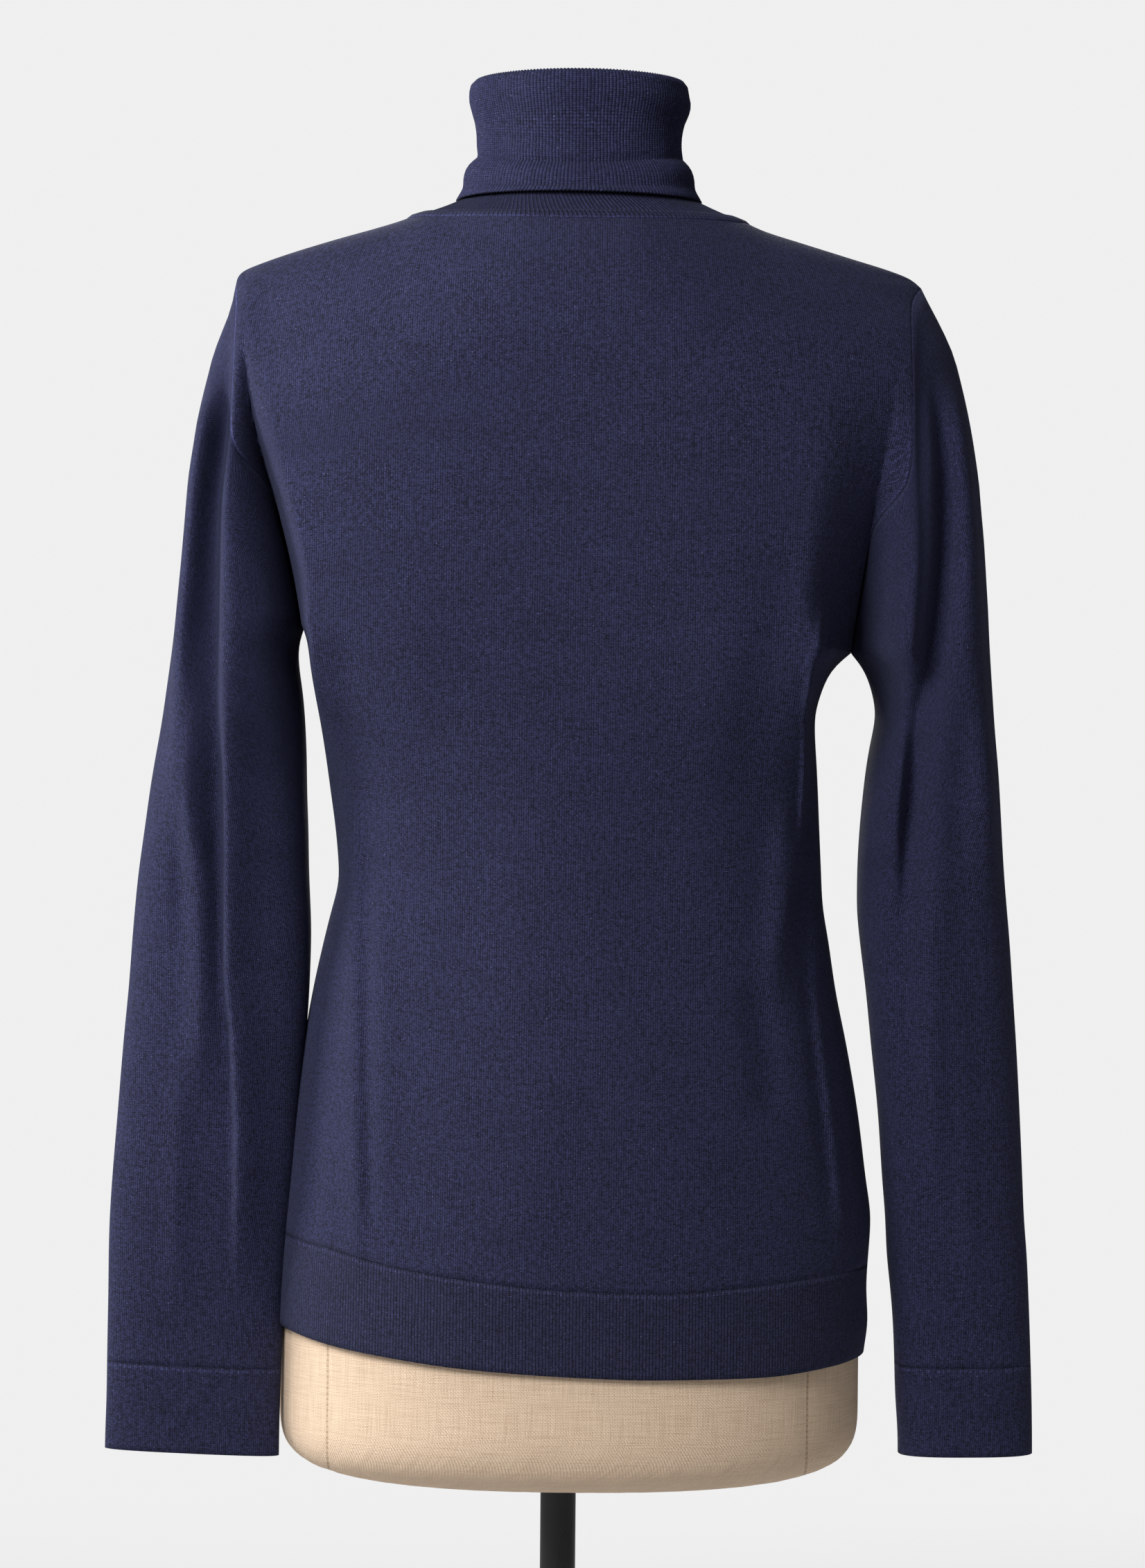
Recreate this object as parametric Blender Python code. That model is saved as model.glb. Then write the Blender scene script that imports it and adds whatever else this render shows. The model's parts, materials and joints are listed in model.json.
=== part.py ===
"""A fine-knit turtleneck top on a limbless dress form, built as closed solids.

Z is up and the floor is at zero. The front of the garment faces -Y and its back faces +Y, so the
wearer's left is at +X. Every cloth wall is made from the same few functions: a height gives the
outline of a section, and a place across that outline gives its depth towards the back or the front.
All lengths are in metres.
"""

import bmesh
import bpy
import numpy as np

WALL = 0.0015
SEAM_GAP = 0.0003
HALF_GAP = SEAM_GAP / 2
LEAST_HALF_HOLLOW = 0.0003
BACK = 1
FRONT = -1

# Columns and rows of the panels. The cap rows are shared by a panel and its sleeve.
BACK_ROWS = 12
FRONT_ROWS = 9
CAP_ROWS = 10
SLEEVE_ROWS = 16
BAND_ROWS = 2

# Depth of the worn body towards the back and the front, by height.
DEPTH = (
    # height, back, front
    (0.380, 0.1180, 0.1080),
    (0.440, 0.1185, 0.1090),
    (0.490, 0.1165, 0.1080),
    (0.531, 0.1120, 0.1045),
    (0.570, 0.1055, 0.0995),
    (0.600, 0.0995, 0.0955),
    (0.628, 0.0950, 0.0930),
    (0.657, 0.0925, 0.0925),
    (0.690, 0.0925, 0.0960),
    (0.724, 0.0950, 0.1040),
    (0.762, 0.1000, 0.1155),
    (0.800, 0.1045, 0.1225),
    (0.850, 0.1075, 0.1220),
    (0.900, 0.1080, 0.1140),
    (0.950, 0.1070, 0.1030),
    (0.985, 0.1055, 0.0920),
    (1.060, 0.1030, 0.0820),
)

# How far the outlines of the body and of each sleeve lie from the middle, by height.
LEFT = (
    # height, body, sleeve inside, sleeve outside
    (0.330, 0.1638, 0.1590, 0.2543),
    (0.349, 0.1638, 0.1590, 0.2542),
    (0.377, 0.1638, 0.1585, 0.2535),
    (0.396, 0.1638, 0.1580, 0.2534),
    (0.416, 0.1638, 0.1573, 0.2532),
    (0.435, 0.1630, 0.1565, 0.2530),
    (0.454, 0.1620, 0.1553, 0.2530),
    (0.474, 0.1605, 0.1535, 0.2526),
    (0.493, 0.1585, 0.1520, 0.2516),
    (0.531, 0.1540, 0.1500, 0.2492),
    (0.570, 0.1485, 0.1470, 0.2469),
    (0.599, 0.1436, 0.1455, 0.2448),
    (0.628, 0.1373, 0.1450, 0.2432),
    (0.647, 0.1326, 0.1459, 0.2418),
    (0.657, 0.1298, 0.1465, 0.2410),
    (0.666, 0.1303, 0.1469, 0.2400),
    (0.685, 0.1320, 0.1474, 0.2375),
    (0.705, 0.1349, 0.1484, 0.2350),
    (0.724, 0.1374, 0.1489, 0.2321),
    (0.743, 0.1402, 0.1499, 0.2288),
    (0.762, 0.1435, 0.1516, 0.2263),
    (0.782, 0.1464, 0.1544, 0.2237),
    (0.791, 0.1474, 0.1541, 0.2226),
    (0.798, 0.1510, 0.1510, 0.2219),
)
RIGHT = (
    # height, body, sleeve inside, sleeve outside
    (0.330, 0.1625, 0.1824, 0.2568),
    (0.349, 0.1625, 0.1824, 0.2567),
    (0.377, 0.1625, 0.1806, 0.2561),
    (0.396, 0.1625, 0.1800, 0.2554),
    (0.416, 0.1655, 0.1791, 0.2546),
    (0.435, 0.1642, 0.1774, 0.2537),
    (0.454, 0.1653, 0.1753, 0.2527),
    (0.474, 0.1665, 0.1744, 0.2510),
    (0.493, 0.1638, 0.1727, 0.2501),
    (0.531, 0.1589, 0.1700, 0.2482),
    (0.570, 0.1520, 0.1658, 0.2459),
    (0.599, 0.1459, 0.1629, 0.2437),
    (0.628, 0.1415, 0.1592, 0.2416),
    (0.647, 0.1382, 0.1575, 0.2398),
    (0.666, 0.1373, 0.1577, 0.2381),
    (0.685, 0.1363, 0.1586, 0.2368),
    (0.705, 0.1354, 0.1604, 0.2355),
    (0.724, 0.1344, 0.1625, 0.2342),
    (0.740, 0.1333, 0.1652, 0.2326),
    (0.752, 0.1330, 0.1676, 0.2317),
    (0.762, 0.1362, 0.1657, 0.2311),
    (0.771, 0.1392, 0.1630, 0.2305),
    (0.780, 0.1440, 0.1592, 0.2299),
    (0.786, 0.1530, 0.1530, 0.2295),
)

# Above the armpits: the outer edge of the sleeve, the bottom of the fold between body and sleeve,
# how deep that fold is as a part of the whole depth, and how far outside the fold's bottom the
# armhole seam runs.
LEFT_CAP = (
    # height, outer edge, fold, fold depth, seam beyond the fold
    (0.798, 0.2219, 0.1510, 1.00, 0.0000),
    (0.820, 0.2199, 0.1550, 0.96, 0.0000),
    (0.839, 0.2181, 0.1590, 0.90, 0.0000),
    (0.859, 0.2167, 0.1640, 0.80, 0.0000),
    (0.870, 0.2160, 0.1668, 0.74, 0.0006),
    (0.879, 0.2153, 0.1695, 0.67, 0.0033),
    (0.889, 0.2139, 0.1722, 0.58, 0.0097),
    (0.903, 0.2116, 0.1758, 0.45, 0.0163),
    (0.920, 0.2084, 0.1790, 0.29, 0.0158),
    (0.936, 0.2051, 0.1810, 0.16, 0.0150),
    (0.947, 0.2025, 0.1820, 0.07, 0.0150),
    (0.961, 0.1976, 0.1830, 0.00, 0.0146),
)
RIGHT_CAP = (
    # height, outer edge, fold, fold depth, seam beyond the fold
    (0.786, 0.2295, 0.1530, 1.00, 0.0000),
    (0.810, 0.2282, 0.1555, 0.93, 0.0000),
    (0.839, 0.2262, 0.1590, 0.78, 0.0000),
    (0.850, 0.2254, 0.1600, 0.70, 0.0005),
    (0.859, 0.2245, 0.1610, 0.62, 0.0050),
    (0.868, 0.2236, 0.1625, 0.53, 0.0115),
    (0.878, 0.2228, 0.1640, 0.45, 0.0175),
    (0.890, 0.2211, 0.1660, 0.34, 0.0215),
    (0.905, 0.2187, 0.1685, 0.22, 0.0245),
    (0.920, 0.2158, 0.1710, 0.12, 0.0263),
    (0.936, 0.2122, 0.1735, 0.05, 0.0267),
    (0.950, 0.2085, 0.1750, 0.02, 0.0275),
    (0.963, 0.2030, 0.1760, 0.00, 0.0270),
)

# The outline from the side of the neck, over the shoulder and down to the armhole seam.
LEFT_SHOULDER = (
    # outwards, height
    (0.0000, 1.0520),
    (0.0500, 1.0400),
    (0.0750, 1.0319),
    (0.0881, 1.0281),
    (0.0969, 1.0242),
    (0.1088, 1.0204),
    (0.1357, 1.0127),
    (0.1607, 1.0050),
    (0.1790, 0.9985),
    (0.1868, 0.9945),
    (0.1902, 0.9888),
    (0.1912, 0.9819),
    (0.1926, 0.9742),
    (0.1954, 0.9665),
    (0.1976, 0.9610),
)
RIGHT_SHOULDER = (
    # outwards, height
    (0.0000, 1.0500),
    (0.0500, 1.0385),
    (0.0736, 1.0319),
    (0.0813, 1.0281),
    (0.0950, 1.0228),
    (0.1000, 1.0204),
    (0.1246, 1.0127),
    (0.1504, 1.0050),
    (0.1759, 0.9973),
    (0.1850, 0.9935),
    (0.1900, 0.9890),
    (0.1934, 0.9819),
    (0.1973, 0.9742),
    (0.2008, 0.9670),
    (0.2030, 0.9630),
)
NECK_CORNER_LEFT = 0.0969
NECK_CORNER_RIGHT = 0.0950
NECK_BACK_HEIGHT = 1.0205
NECK_FRONT_HEIGHT = 0.9850
ARCH_HEIGHT = 0.100
BODY_BANK = 0.024
SLEEVE_BANK = 0.034
ARCH_CORNER = 0.1850

# The bottom edge and the linking line of the hem, from the left side (1) to the right side (-1).
HEM_BACK = (
    # across, bottom edge, linking line
    (-1.00, 0.4000, 0.4490),
    (-0.88, 0.3975, 0.4475),
    (-0.62, 0.3945, 0.4440),
    (-0.30, 0.3945, 0.4405),
    (0.00, 0.3960, 0.4420),
    (0.35, 0.3995, 0.4470),
    (0.60, 0.4040, 0.4530),
    (0.80, 0.4085, 0.4600),
    (1.00, 0.4156, 0.4650),
)
HEM_FRONT = (
    # across, bottom edge, linking line
    (-1.00, 0.4000, 0.4490),
    (-0.60, 0.3960, 0.4440),
    (0.00, 0.3970, 0.4450),
    (0.60, 0.4060, 0.4555),
    (1.00, 0.4156, 0.4650),
)

# Half of each sleeve's depth, the place of its middle and how its inner edge turns to the back.
LEFT_SLEEVE = (
    # height, half depth, middle, turn
    (0.338, 0.0120, 0.0330, 0.34),
    (0.390, 0.0150, 0.0330, 0.34),
    (0.435, 0.0190, 0.0330, 0.34),
    (0.493, 0.0230, 0.0310, 0.34),
    (0.531, 0.0250, 0.0260, 0.33),
    (0.570, 0.0290, 0.0190, 0.30),
    (0.608, 0.0330, 0.0120, 0.24),
    (0.666, 0.0410, 0.0060, 0.12),
    (0.724, 0.0520, 0.0020, 0.04),
    (0.762, 0.0610, 0.0000, 0.00),
    (0.798, 0.0660, 0.0000, 0.00),
)
RIGHT_SLEEVE = (
    # height, half depth, middle, turn
    (0.338, 0.0250, 0.0080, 0.05),
    (0.390, 0.0280, 0.0080, 0.05),
    (0.435, 0.0315, 0.0080, 0.05),
    (0.493, 0.0350, 0.0070, 0.05),
    (0.570, 0.0395, 0.0050, 0.03),
    (0.608, 0.0425, 0.0040, 0.00),
    (0.666, 0.0470, 0.0030, 0.00),
    (0.724, 0.0570, 0.0010, 0.00),
    (0.762, 0.0650, 0.0000, 0.00),
    (0.786, 0.0680, 0.0000, 0.00),
)
CUFF_LINE = {"left": 0.3895, "right": 0.3905}
CUFF_EDGE = {"left": 0.3380, "right": 0.3400}

# Soft upright folds of the body. Each runs between two points and swells or sinks by its height.
BACK_FOLDS = (
    # upper x, upper z, lower x, lower z, half width, height
    (0.1260, 0.690, 0.1185, 0.480, 0.0100, 0.0030),
    (0.1085, 0.640, 0.1040, 0.490, 0.0110, 0.0016),
    (-0.1335, 0.800, -0.1270, 0.690, 0.0090, 0.0040),
    (-0.1245, 0.690, -0.1140, 0.620, 0.0090, 0.0026),
    (-0.1040, 0.600, -0.1120, 0.540, 0.0120, -0.0024),
    (-0.1180, 0.820, -0.0930, 0.700, 0.0180, -0.0022),
    (0.1300, 0.780, 0.1240, 0.700, 0.0120, -0.0018),
)
FRONT_FOLDS = (
    # upper x, upper z, lower x, lower z, half width, height
    (0.1290, 0.800, 0.1220, 0.660, 0.0110, 0.0034),
    (0.1050, 0.660, 0.1120, 0.500, 0.0120, 0.0018),
    (-0.1300, 0.790, -0.1230, 0.680, 0.0100, 0.0036),
    (-0.1130, 0.640, -0.1060, 0.520, 0.0120, 0.0020),
    (-0.0900, 0.600, -0.0980, 0.500, 0.0140, -0.0016),
    (0.0850, 0.830, 0.0950, 0.720, 0.0160, -0.0018),
)
LEFT_SLEEVE_FOLDS = (
    # across from the inside, upper z, across, lower z, half width, height, face
    (0.36, 0.930, 0.53, 0.560, 0.075, 0.0050, BACK),
    (0.78, 0.740, 0.70, 0.600, 0.060, -0.0022, BACK),
    (0.45, 0.900, 0.55, 0.600, 0.090, 0.0030, FRONT),
    (0.72, 0.700, 0.62, 0.520, 0.060, -0.0020, FRONT),
)
RIGHT_SLEEVE_FOLDS = (
    # across from the inside, upper z, across, lower z, half width, height, face
    (0.47, 0.900, 0.28, 0.640, 0.070, -0.0085, BACK),
    (0.30, 0.860, 0.16, 0.720, 0.080, 0.0030, BACK),
    (0.60, 0.780, 0.45, 0.480, 0.090, 0.0026, BACK),
    (0.50, 0.880, 0.36, 0.660, 0.075, -0.0060, FRONT),
    (0.66, 0.740, 0.52, 0.500, 0.090, 0.0024, FRONT),
)

# Columns of the panels, from the left edge (1) to the right edge (-1). Two on each side stand at
# the corner of the shoulder and at the corner of the neck.
ACROSS = (
    1.000, 0.992, 0.971, 0.945, 0.900, 0.840, 0.770, 0.690, 0.600, NECK_CORNER_LEFT / LEFT_CAP[-1][1],
    0.468, 0.415, 0.330, 0.220, 0.110,
    0.000, -0.110, -0.220, -0.320, -0.400, -0.448,
    -NECK_CORNER_RIGHT / RIGHT_CAP[-1][1],
    -0.580, -0.680, -0.765, -0.830, -0.880, -0.922, -0.962, -0.990, -1.000,
)

# The rolled collar, from the bottom of its stand up to the fold and down to its free edge.
RIB_COUNT = 188
RIB_RISE = 0.00018
COLLAR_SIDES = 47
COLLAR_WALL = 0.0016
COLLAR_MIDDLE_Y = -0.002
COLLAR_DEEPER = 1.03
FLAP = (
    # height, radius of the outside
    (1.0355, 0.0678),
    (1.0430, 0.0640),
    (1.0525, 0.0562),
    (1.0700, 0.0558),
    (1.0880, 0.0596),
    (1.0975, 0.0592),
)
ROLL_TOP = (
    # height, radius
    (1.1015, 0.0572),
    (1.1012, 0.0540),
    (1.0980, 0.0522),
)
STAND = (
    # height, radius of the outside, share of the wall that lies under it, depth by width
    (1.0315, 0.0755, 0.90, 0.920),
    (1.0370, 0.0600, 0.75, 1.000),
    (1.0430, 0.0545, 0.35, 1.030),
    (1.0525, 0.0531, 0.00, 1.030),
    (1.0940, 0.0535, 0.00, 1.030),
)
COLLAR_LIFT = 0.0008

# The dress form: smooth sections, lathe-like from its rounded underside to its neck.
FORM = (
    # height, half width, back, front
    (0.3300, 0.1602, 0.1145, 0.1045),
    (0.4200, 0.1602, 0.1150, 0.1050),
    (0.4600, 0.1590, 0.1145, 0.1050),
    (0.5000, 0.1530, 0.1110, 0.1030),
    (0.5400, 0.1455, 0.1060, 0.0990),
    (0.5800, 0.1380, 0.0985, 0.0940),
    (0.6200, 0.1300, 0.0915, 0.0895),
    (0.6570, 0.1240, 0.0880, 0.0880),
    (0.6900, 0.1225, 0.0880, 0.0915),
    (0.7300, 0.1240, 0.0920, 0.1000),
    (0.7700, 0.1280, 0.0970, 0.1120),
    (0.8100, 0.1340, 0.1010, 0.1180),
    (0.8500, 0.1400, 0.1035, 0.1175),
    (0.9000, 0.1500, 0.1040, 0.1095),
    (0.9400, 0.1640, 0.1030, 0.1000),
    (0.9650, 0.1760, 0.1020, 0.0930),
    (0.9850, 0.1820, 0.1000, 0.0870),
    (1.0100, 0.1830, 0.0920, 0.0735),
    (1.0700, 0.1830, 0.0870, 0.0660),
)
FORM_BOTTOM = 0.3200
FORM_ROUNDING = 0.0550
FORM_SIDES = 28
FORM_UNDER_CLOTH = 0.0033
FORM_ROWS = (
    0.3200, 0.3210, 0.3250, 0.3320, 0.3450, 0.3750, 0.4200, 0.4600, 0.5000, 0.5400, 0.5800, 0.6200,
    0.6570, 0.6950, 0.7350, 0.7800, 0.8250, 0.8700, 0.9150, 0.9500, 0.9720, 0.9850, 0.9920, 1.0000,
    1.0080, 1.0150, 1.0215, 1.0290, 1.0380, 1.0480, 1.0700,
)
NECK_RADIUS = 0.0495
POLE_RADIUS = 0.0098
POLE_X = 0.0055
POLE_TOP = 0.3500
POLE_SIDES = 32
BASE_RADIUS = 0.1500
BASE_THICKNESS = 0.0080
BASE_SIDES = 40


def clear_scene():
    for thing in list(bpy.data.objects):
        bpy.data.objects.remove(thing, do_unlink=True)
    for mesh in list(bpy.data.meshes):
        bpy.data.meshes.remove(mesh)


def column(rows, index):
    return np.array([row[index] for row in rows], dtype=float)


def smooth(at, places, values):
    """A curve through the values that never overshoots them."""
    at = np.asarray(at, dtype=float)
    step = np.diff(places)
    slope = np.diff(values) / step
    tangent = np.zeros(len(places))
    tangent[0] = slope[0]
    tangent[-1] = slope[-1]
    same_way = slope[:-1] * slope[1:] > 0
    safe = np.where(same_way, slope[:-1] + slope[1:], 1.0)
    tangent[1:-1] = np.where(same_way, 2.0 * slope[:-1] * slope[1:] / safe, 0.0)
    spot = np.clip(np.searchsorted(places, at) - 1, 0, len(places) - 2)
    part = np.clip((at - places[spot]) / step[spot], 0.0, 1.0)
    a = (1 + 2 * part) * (1 - part) ** 2 * values[spot]
    b = part * (1 - part) ** 2 * step[spot] * tangent[spot]
    c = part**2 * (3 - 2 * part) * values[spot + 1]
    d = part**2 * (part - 1) * step[spot] * tangent[spot + 1]
    return a + b + c + d


def look_up(rows, index, at):
    return smooth(at, column(rows, 0), column(rows, index))


def step_up(value):
    value = np.clip(value, 0.0, 1.0)
    return value * value * (3 - 2 * value)


def round_end(part, power):
    """1 in the middle and 0 at the end, like the quarter of an oval."""
    return np.clip(1 - np.abs(part) ** power, 0.0, 1.0) ** (1.0 / power)


def rise(part):
    return round_end(1 - np.clip(part, 0.0, 1.0), 2.0)


class Side:
    """One side of the garment: its outlines, its armpit and its shoulder."""

    def __init__(self, sign, below, cap, shoulder, neck_corner, power):
        self.sign = sign
        self.below = below
        self.cap = cap
        self.shoulder = shoulder
        self.neck_corner = neck_corner
        self.power = power
        self.armpit = below[-1][0]
        self.notch = cap[-1][0]
        self.notch_x = cap[-1][1]
        self.cap_width = cap[0][1] - cap[0][2]

    def body_edge(self, z):
        return look_up(self.below, 1, z)

    def sleeve_edges(self, z):
        inside = look_up(self.below, 2, z)
        outside = look_up(self.below, 3, z)
        over = np.asarray(z) > self.armpit
        outer = np.where(over, self.outer_edge(z), outside)
        return np.where(over, outer - self.cap_width, inside), outer

    def outer_edge(self, z):
        """The outermost edge at a height, over the armpit and up the shoulder."""
        z = np.asarray(z, dtype=float)
        edge = np.where(z > self.armpit, look_up(self.cap, 1, z), look_up(self.below, 3, z))
        line = self.shoulder_line(0.0)
        steep = line[0] > ARCH_CORNER
        up = smooth(z, line[1][steep][::-1], line[0][steep][::-1])
        return np.where(z > self.notch, up, edge)

    def seam_inside(self, z):
        return self.outer_edge(z) - look_up(self.cap, 2, z) - look_up(self.cap, 4, z)

    def seam_height(self, inside):
        """Where the armhole seam runs that far inside the outer edge."""
        heights = np.linspace(self.armpit, self.notch, 400)
        return np.interp(inside, self.seam_inside(heights)[::-1], heights[::-1])

    def shoulder_line(self, inset):
        """The outline over the shoulder, moved inwards."""
        rows_x = column(self.shoulder, 0)
        rows_z = column(self.shoulder, 1)
        along = np.concatenate([[0.0], np.cumsum(np.hypot(np.diff(rows_x), np.diff(rows_z)))])
        fine = np.linspace(0.0, along[-1], 160)
        x = smooth(fine, along, rows_x)
        z = smooth(fine, along, rows_z)
        dx = np.gradient(x, fine)
        dz = np.gradient(z, fine)
        return np.array([x + inset * dz, z - inset * dx])

    def shoulder_height(self, x, inset):
        line = self.shoulder_line(inset)
        return np.interp(np.abs(x), line[0], line[1])

    def arch_line(self, x, inset):
        """The shoulder line, carried straight on past the shoulder's corner."""
        line = self.shoulder_line(inset)
        flat = line[0] < ARCH_CORNER
        x = np.abs(x)
        end_x = line[0][flat][-1]
        end_z = line[1][flat][-1]
        inside = np.interp(x, line[0][flat], line[1][flat])
        return np.where(x > end_x, end_z - 0.30 * (x - end_x), inside)


LEFT_SIDE = Side(1, LEFT, LEFT_CAP, LEFT_SHOULDER, NECK_CORNER_LEFT, 3.2)
RIGHT_SIDE = Side(-1, RIGHT, RIGHT_CAP, RIGHT_SHOULDER, NECK_CORNER_RIGHT, 2.6)
SIDES = {"left": LEFT_SIDE, "right": RIGHT_SIDE}


def full_depth(z, face):
    return look_up(DEPTH, 1 if face == BACK else 2, z)


def fold_swell(folds, x, z):
    """The sum of the soft upright folds at a place."""
    total = np.zeros(np.broadcast(x, z).shape)
    for upper_x, upper_z, lower_x, lower_z, width, height in folds:
        along = (upper_z - z) / (upper_z - lower_z)
        middle = upper_x + (lower_x - upper_x) * np.clip(along, 0.0, 1.0)
        ends = step_up((along + 0.25) / 0.4) * step_up((1.25 - along) / 0.4)
        total = total + height * ends * np.exp(-(((x - middle) / width) ** 2))
    return total


def joined_depth(side, x, z, face, inset):
    """Depth of the one outline that body and sleeve share over the armpit."""
    edge = side.outer_edge(z) - inset
    depth = full_depth(z, face) * round_end(x / edge, 2.6)
    depth = depth * rise((side.arch_line(x, inset) - z) / ARCH_HEIGHT)
    fold = look_up(side.cap, 2, z)
    deep = look_up(side.cap, 3, z)
    if face == FRONT:
        deep = deep * (0.8 + 0.2 * deep)
    away = np.clip(np.abs(x - fold) - inset, 0.0, None)
    lifted = rise(away / np.where(np.abs(x) < fold, BODY_BANK, SLEEVE_BANK))
    return depth * (1 - deep * (1 - lifted))


def body_depth(side, x, z, face, inset):
    """Depth of the body's outer wall, or of its inner one with an inset."""
    x = np.abs(x)
    over = z > side.armpit
    joined = joined_depth(side, x, np.maximum(z, side.armpit), face, inset)
    edge = side.body_edge(z) - inset
    own = full_depth(z, face) * round_end(x / edge, 2.35)
    reach = side.outer_edge(side.armpit) - inset
    squarer = full_depth(z, face) * round_end(x / reach, 2.6) * rise((edge - x) / BODY_BANK)
    mix = step_up((z - side.armpit + 0.10) / 0.10)
    below = own * (1 - mix) + squarer * mix
    return np.where(over, joined, below) - inset


def panel(face, rows, inset):
    """The grid of a body panel, from its linking line up to the shoulder and the neck."""
    across = np.array(ACROSS)
    hem = HEM_BACK if face == BACK else HEM_FRONT
    link = look_up(hem, 2, across) + HALF_GAP
    edge_z = {}
    edge_x = {}
    for name, side in SIDES.items():
        low = np.linspace(link[0] if name == "left" else link[-1], side.armpit, rows + 1)
        inside = side.cap_width * (1 + np.cos(np.linspace(0.0, np.pi, CAP_ROWS + 1))) / 2
        high = side.seam_height(inside)
        low_x = side.body_edge(low) - inset
        seam_x = side.outer_edge(high) - inside - inset * seam_lean(inside, high, side)
        edge_z[name] = np.concatenate([low, high[1:]])
        edge_x[name] = np.concatenate([low_x, seam_x[1:]])
    share = (1 + across) / 2
    left_share = share[None, :]
    z = edge_z["left"][:, None] * left_share + edge_z["right"][:, None] * (1 - left_share)
    ends = link[0] * share + link[-1] * (1 - share)
    fade = np.clip(1 - np.arange(len(z)) / rows, 0.0, 1.0)
    z = z + fade[:, None] * (link - ends)[None, :]
    top = top_height(across, face, inset)
    notch = LEFT_SIDE.notch * share + RIGHT_SIDE.notch * (1 - share)
    edge = z.copy()
    climb = np.clip((edge - 0.76) / (notch[None, :] - 0.76), 0.0, 1.0) ** 2
    z = edge + climb * (top - notch)[None, :]
    x = np.where(
        across[None, :] > 0,
        across[None, :] * edge_x["left"][:, None],
        across[None, :] * edge_x["right"][:, None],
    )
    on_left = body_depth(LEFT_SIDE, x, z, face, inset)
    on_right = body_depth(RIGHT_SIDE, x, z, face, inset)
    depth = np.where(x > 0, on_left, on_right)
    folds = BACK_FOLDS if face == BACK else FRONT_FOLDS
    depth = depth + fold_swell(folds, x, z) * step_up(depth / 0.03)
    least = np.full(len(z), HALF_GAP)
    least[rows + 1 : -1] = LEAST_HALF_HOLLOW + WALL - inset
    depth = np.maximum(depth, np.where(across[None, :] ** 2 < 1, HALF_GAP, least[:, None]))
    top_x = np.where(across > 0, across * LEFT_SIDE.notch_x, -across * RIGHT_SIDE.notch_x)
    corners = np.where(across > 0, NECK_CORNER_LEFT, NECK_CORNER_RIGHT)
    depth[-1, top_x > corners - 1e-6] = HALF_GAP
    depth[: rows + 1, 0] = HALF_GAP
    depth[: rows + 1, -1] = HALF_GAP
    for name, end in (("left", 0), ("right", -1)):
        side = SIDES[name]
        apart = seam_apart(side.cap_width * (1 + np.cos(np.linspace(0.0, np.pi, CAP_ROWS + 1))) / 2)
        x[rows:, end] -= side.sign * apart
    return np.stack([x, depth * face, z], axis=-1)


def seam_apart(inside):
    """Half the gap of the armhole seam, a little wider where it turns over the shoulder."""
    return HALF_GAP * (1 + 2 * np.clip(1 - inside / 0.006, 0.0, 1.0))


def seam_lean(inside, z, side):
    """How much the inner side of a seam lies nearer the middle than its outer side."""
    deep = step_up((0.905 - z) / 0.03)
    end = np.clip(1 - inside / 0.006, 0.0, 1.0)
    return deep + end


def top_height(across, face, inset):
    """Height of a panel's top edge: the neck seam in the middle, the shoulder beside it."""
    heights = []
    for value in across:
        side = LEFT_SIDE if value > 0 else RIGHT_SIDE
        x = abs(value) * (side.notch_x - inset)
        corner = side.neck_corner
        if x >= corner - 1e-6:
            heights.append(float(side.shoulder_height(x, inset)))
            continue
        middle = NECK_BACK_HEIGHT if face == BACK else NECK_FRONT_HEIGHT
        end = float(side.shoulder_height(corner, inset))
        power = 2.0 if face == BACK else 2.6
        heights.append(middle + (end - middle) * (x / corner) ** power)
    return np.array(heights)


def sleeve_depth(name, across, x, z, face, inset):
    side = SIDES[name]
    table = LEFT_SLEEVE if name == "left" else RIGHT_SLEEVE
    over = z > side.armpit
    joined = joined_depth(side, x, np.maximum(z, side.armpit), face, inset) - inset
    inside, outside = side.sleeve_edges(z)
    half = look_up(table, 1, z) - inset
    own = half * round_end(2 * across - 1, 2.2)
    reach = outside - inset
    squarer = full_depth(z, face) * round_end(x / reach, 2.6) * rise((x - inside - inset) / SLEEVE_BANK)
    squarer = np.maximum(squarer - inset, 0.0)
    mix = step_up((z - side.armpit + 0.09) / 0.09)
    below = own * (1 - mix) + squarer * mix
    middle = look_up(table, 2, z) * (1 - mix)
    turn = look_up(table, 3, z) * (1 - mix)
    centre = middle + turn * ((inside + outside) / 2 - x)
    return np.where(over, joined, below), np.where(over, 0.0, centre)


def sleeve_folds(name, across, z, face):
    folds = LEFT_SLEEVE_FOLDS if name == "left" else RIGHT_SLEEVE_FOLDS
    kept = [row[:6] for row in folds if row[6] == face]
    flat = [(a, top, b, low, width, height) for a, top, b, low, width, height in kept]
    return fold_swell(flat, across, z)


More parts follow.
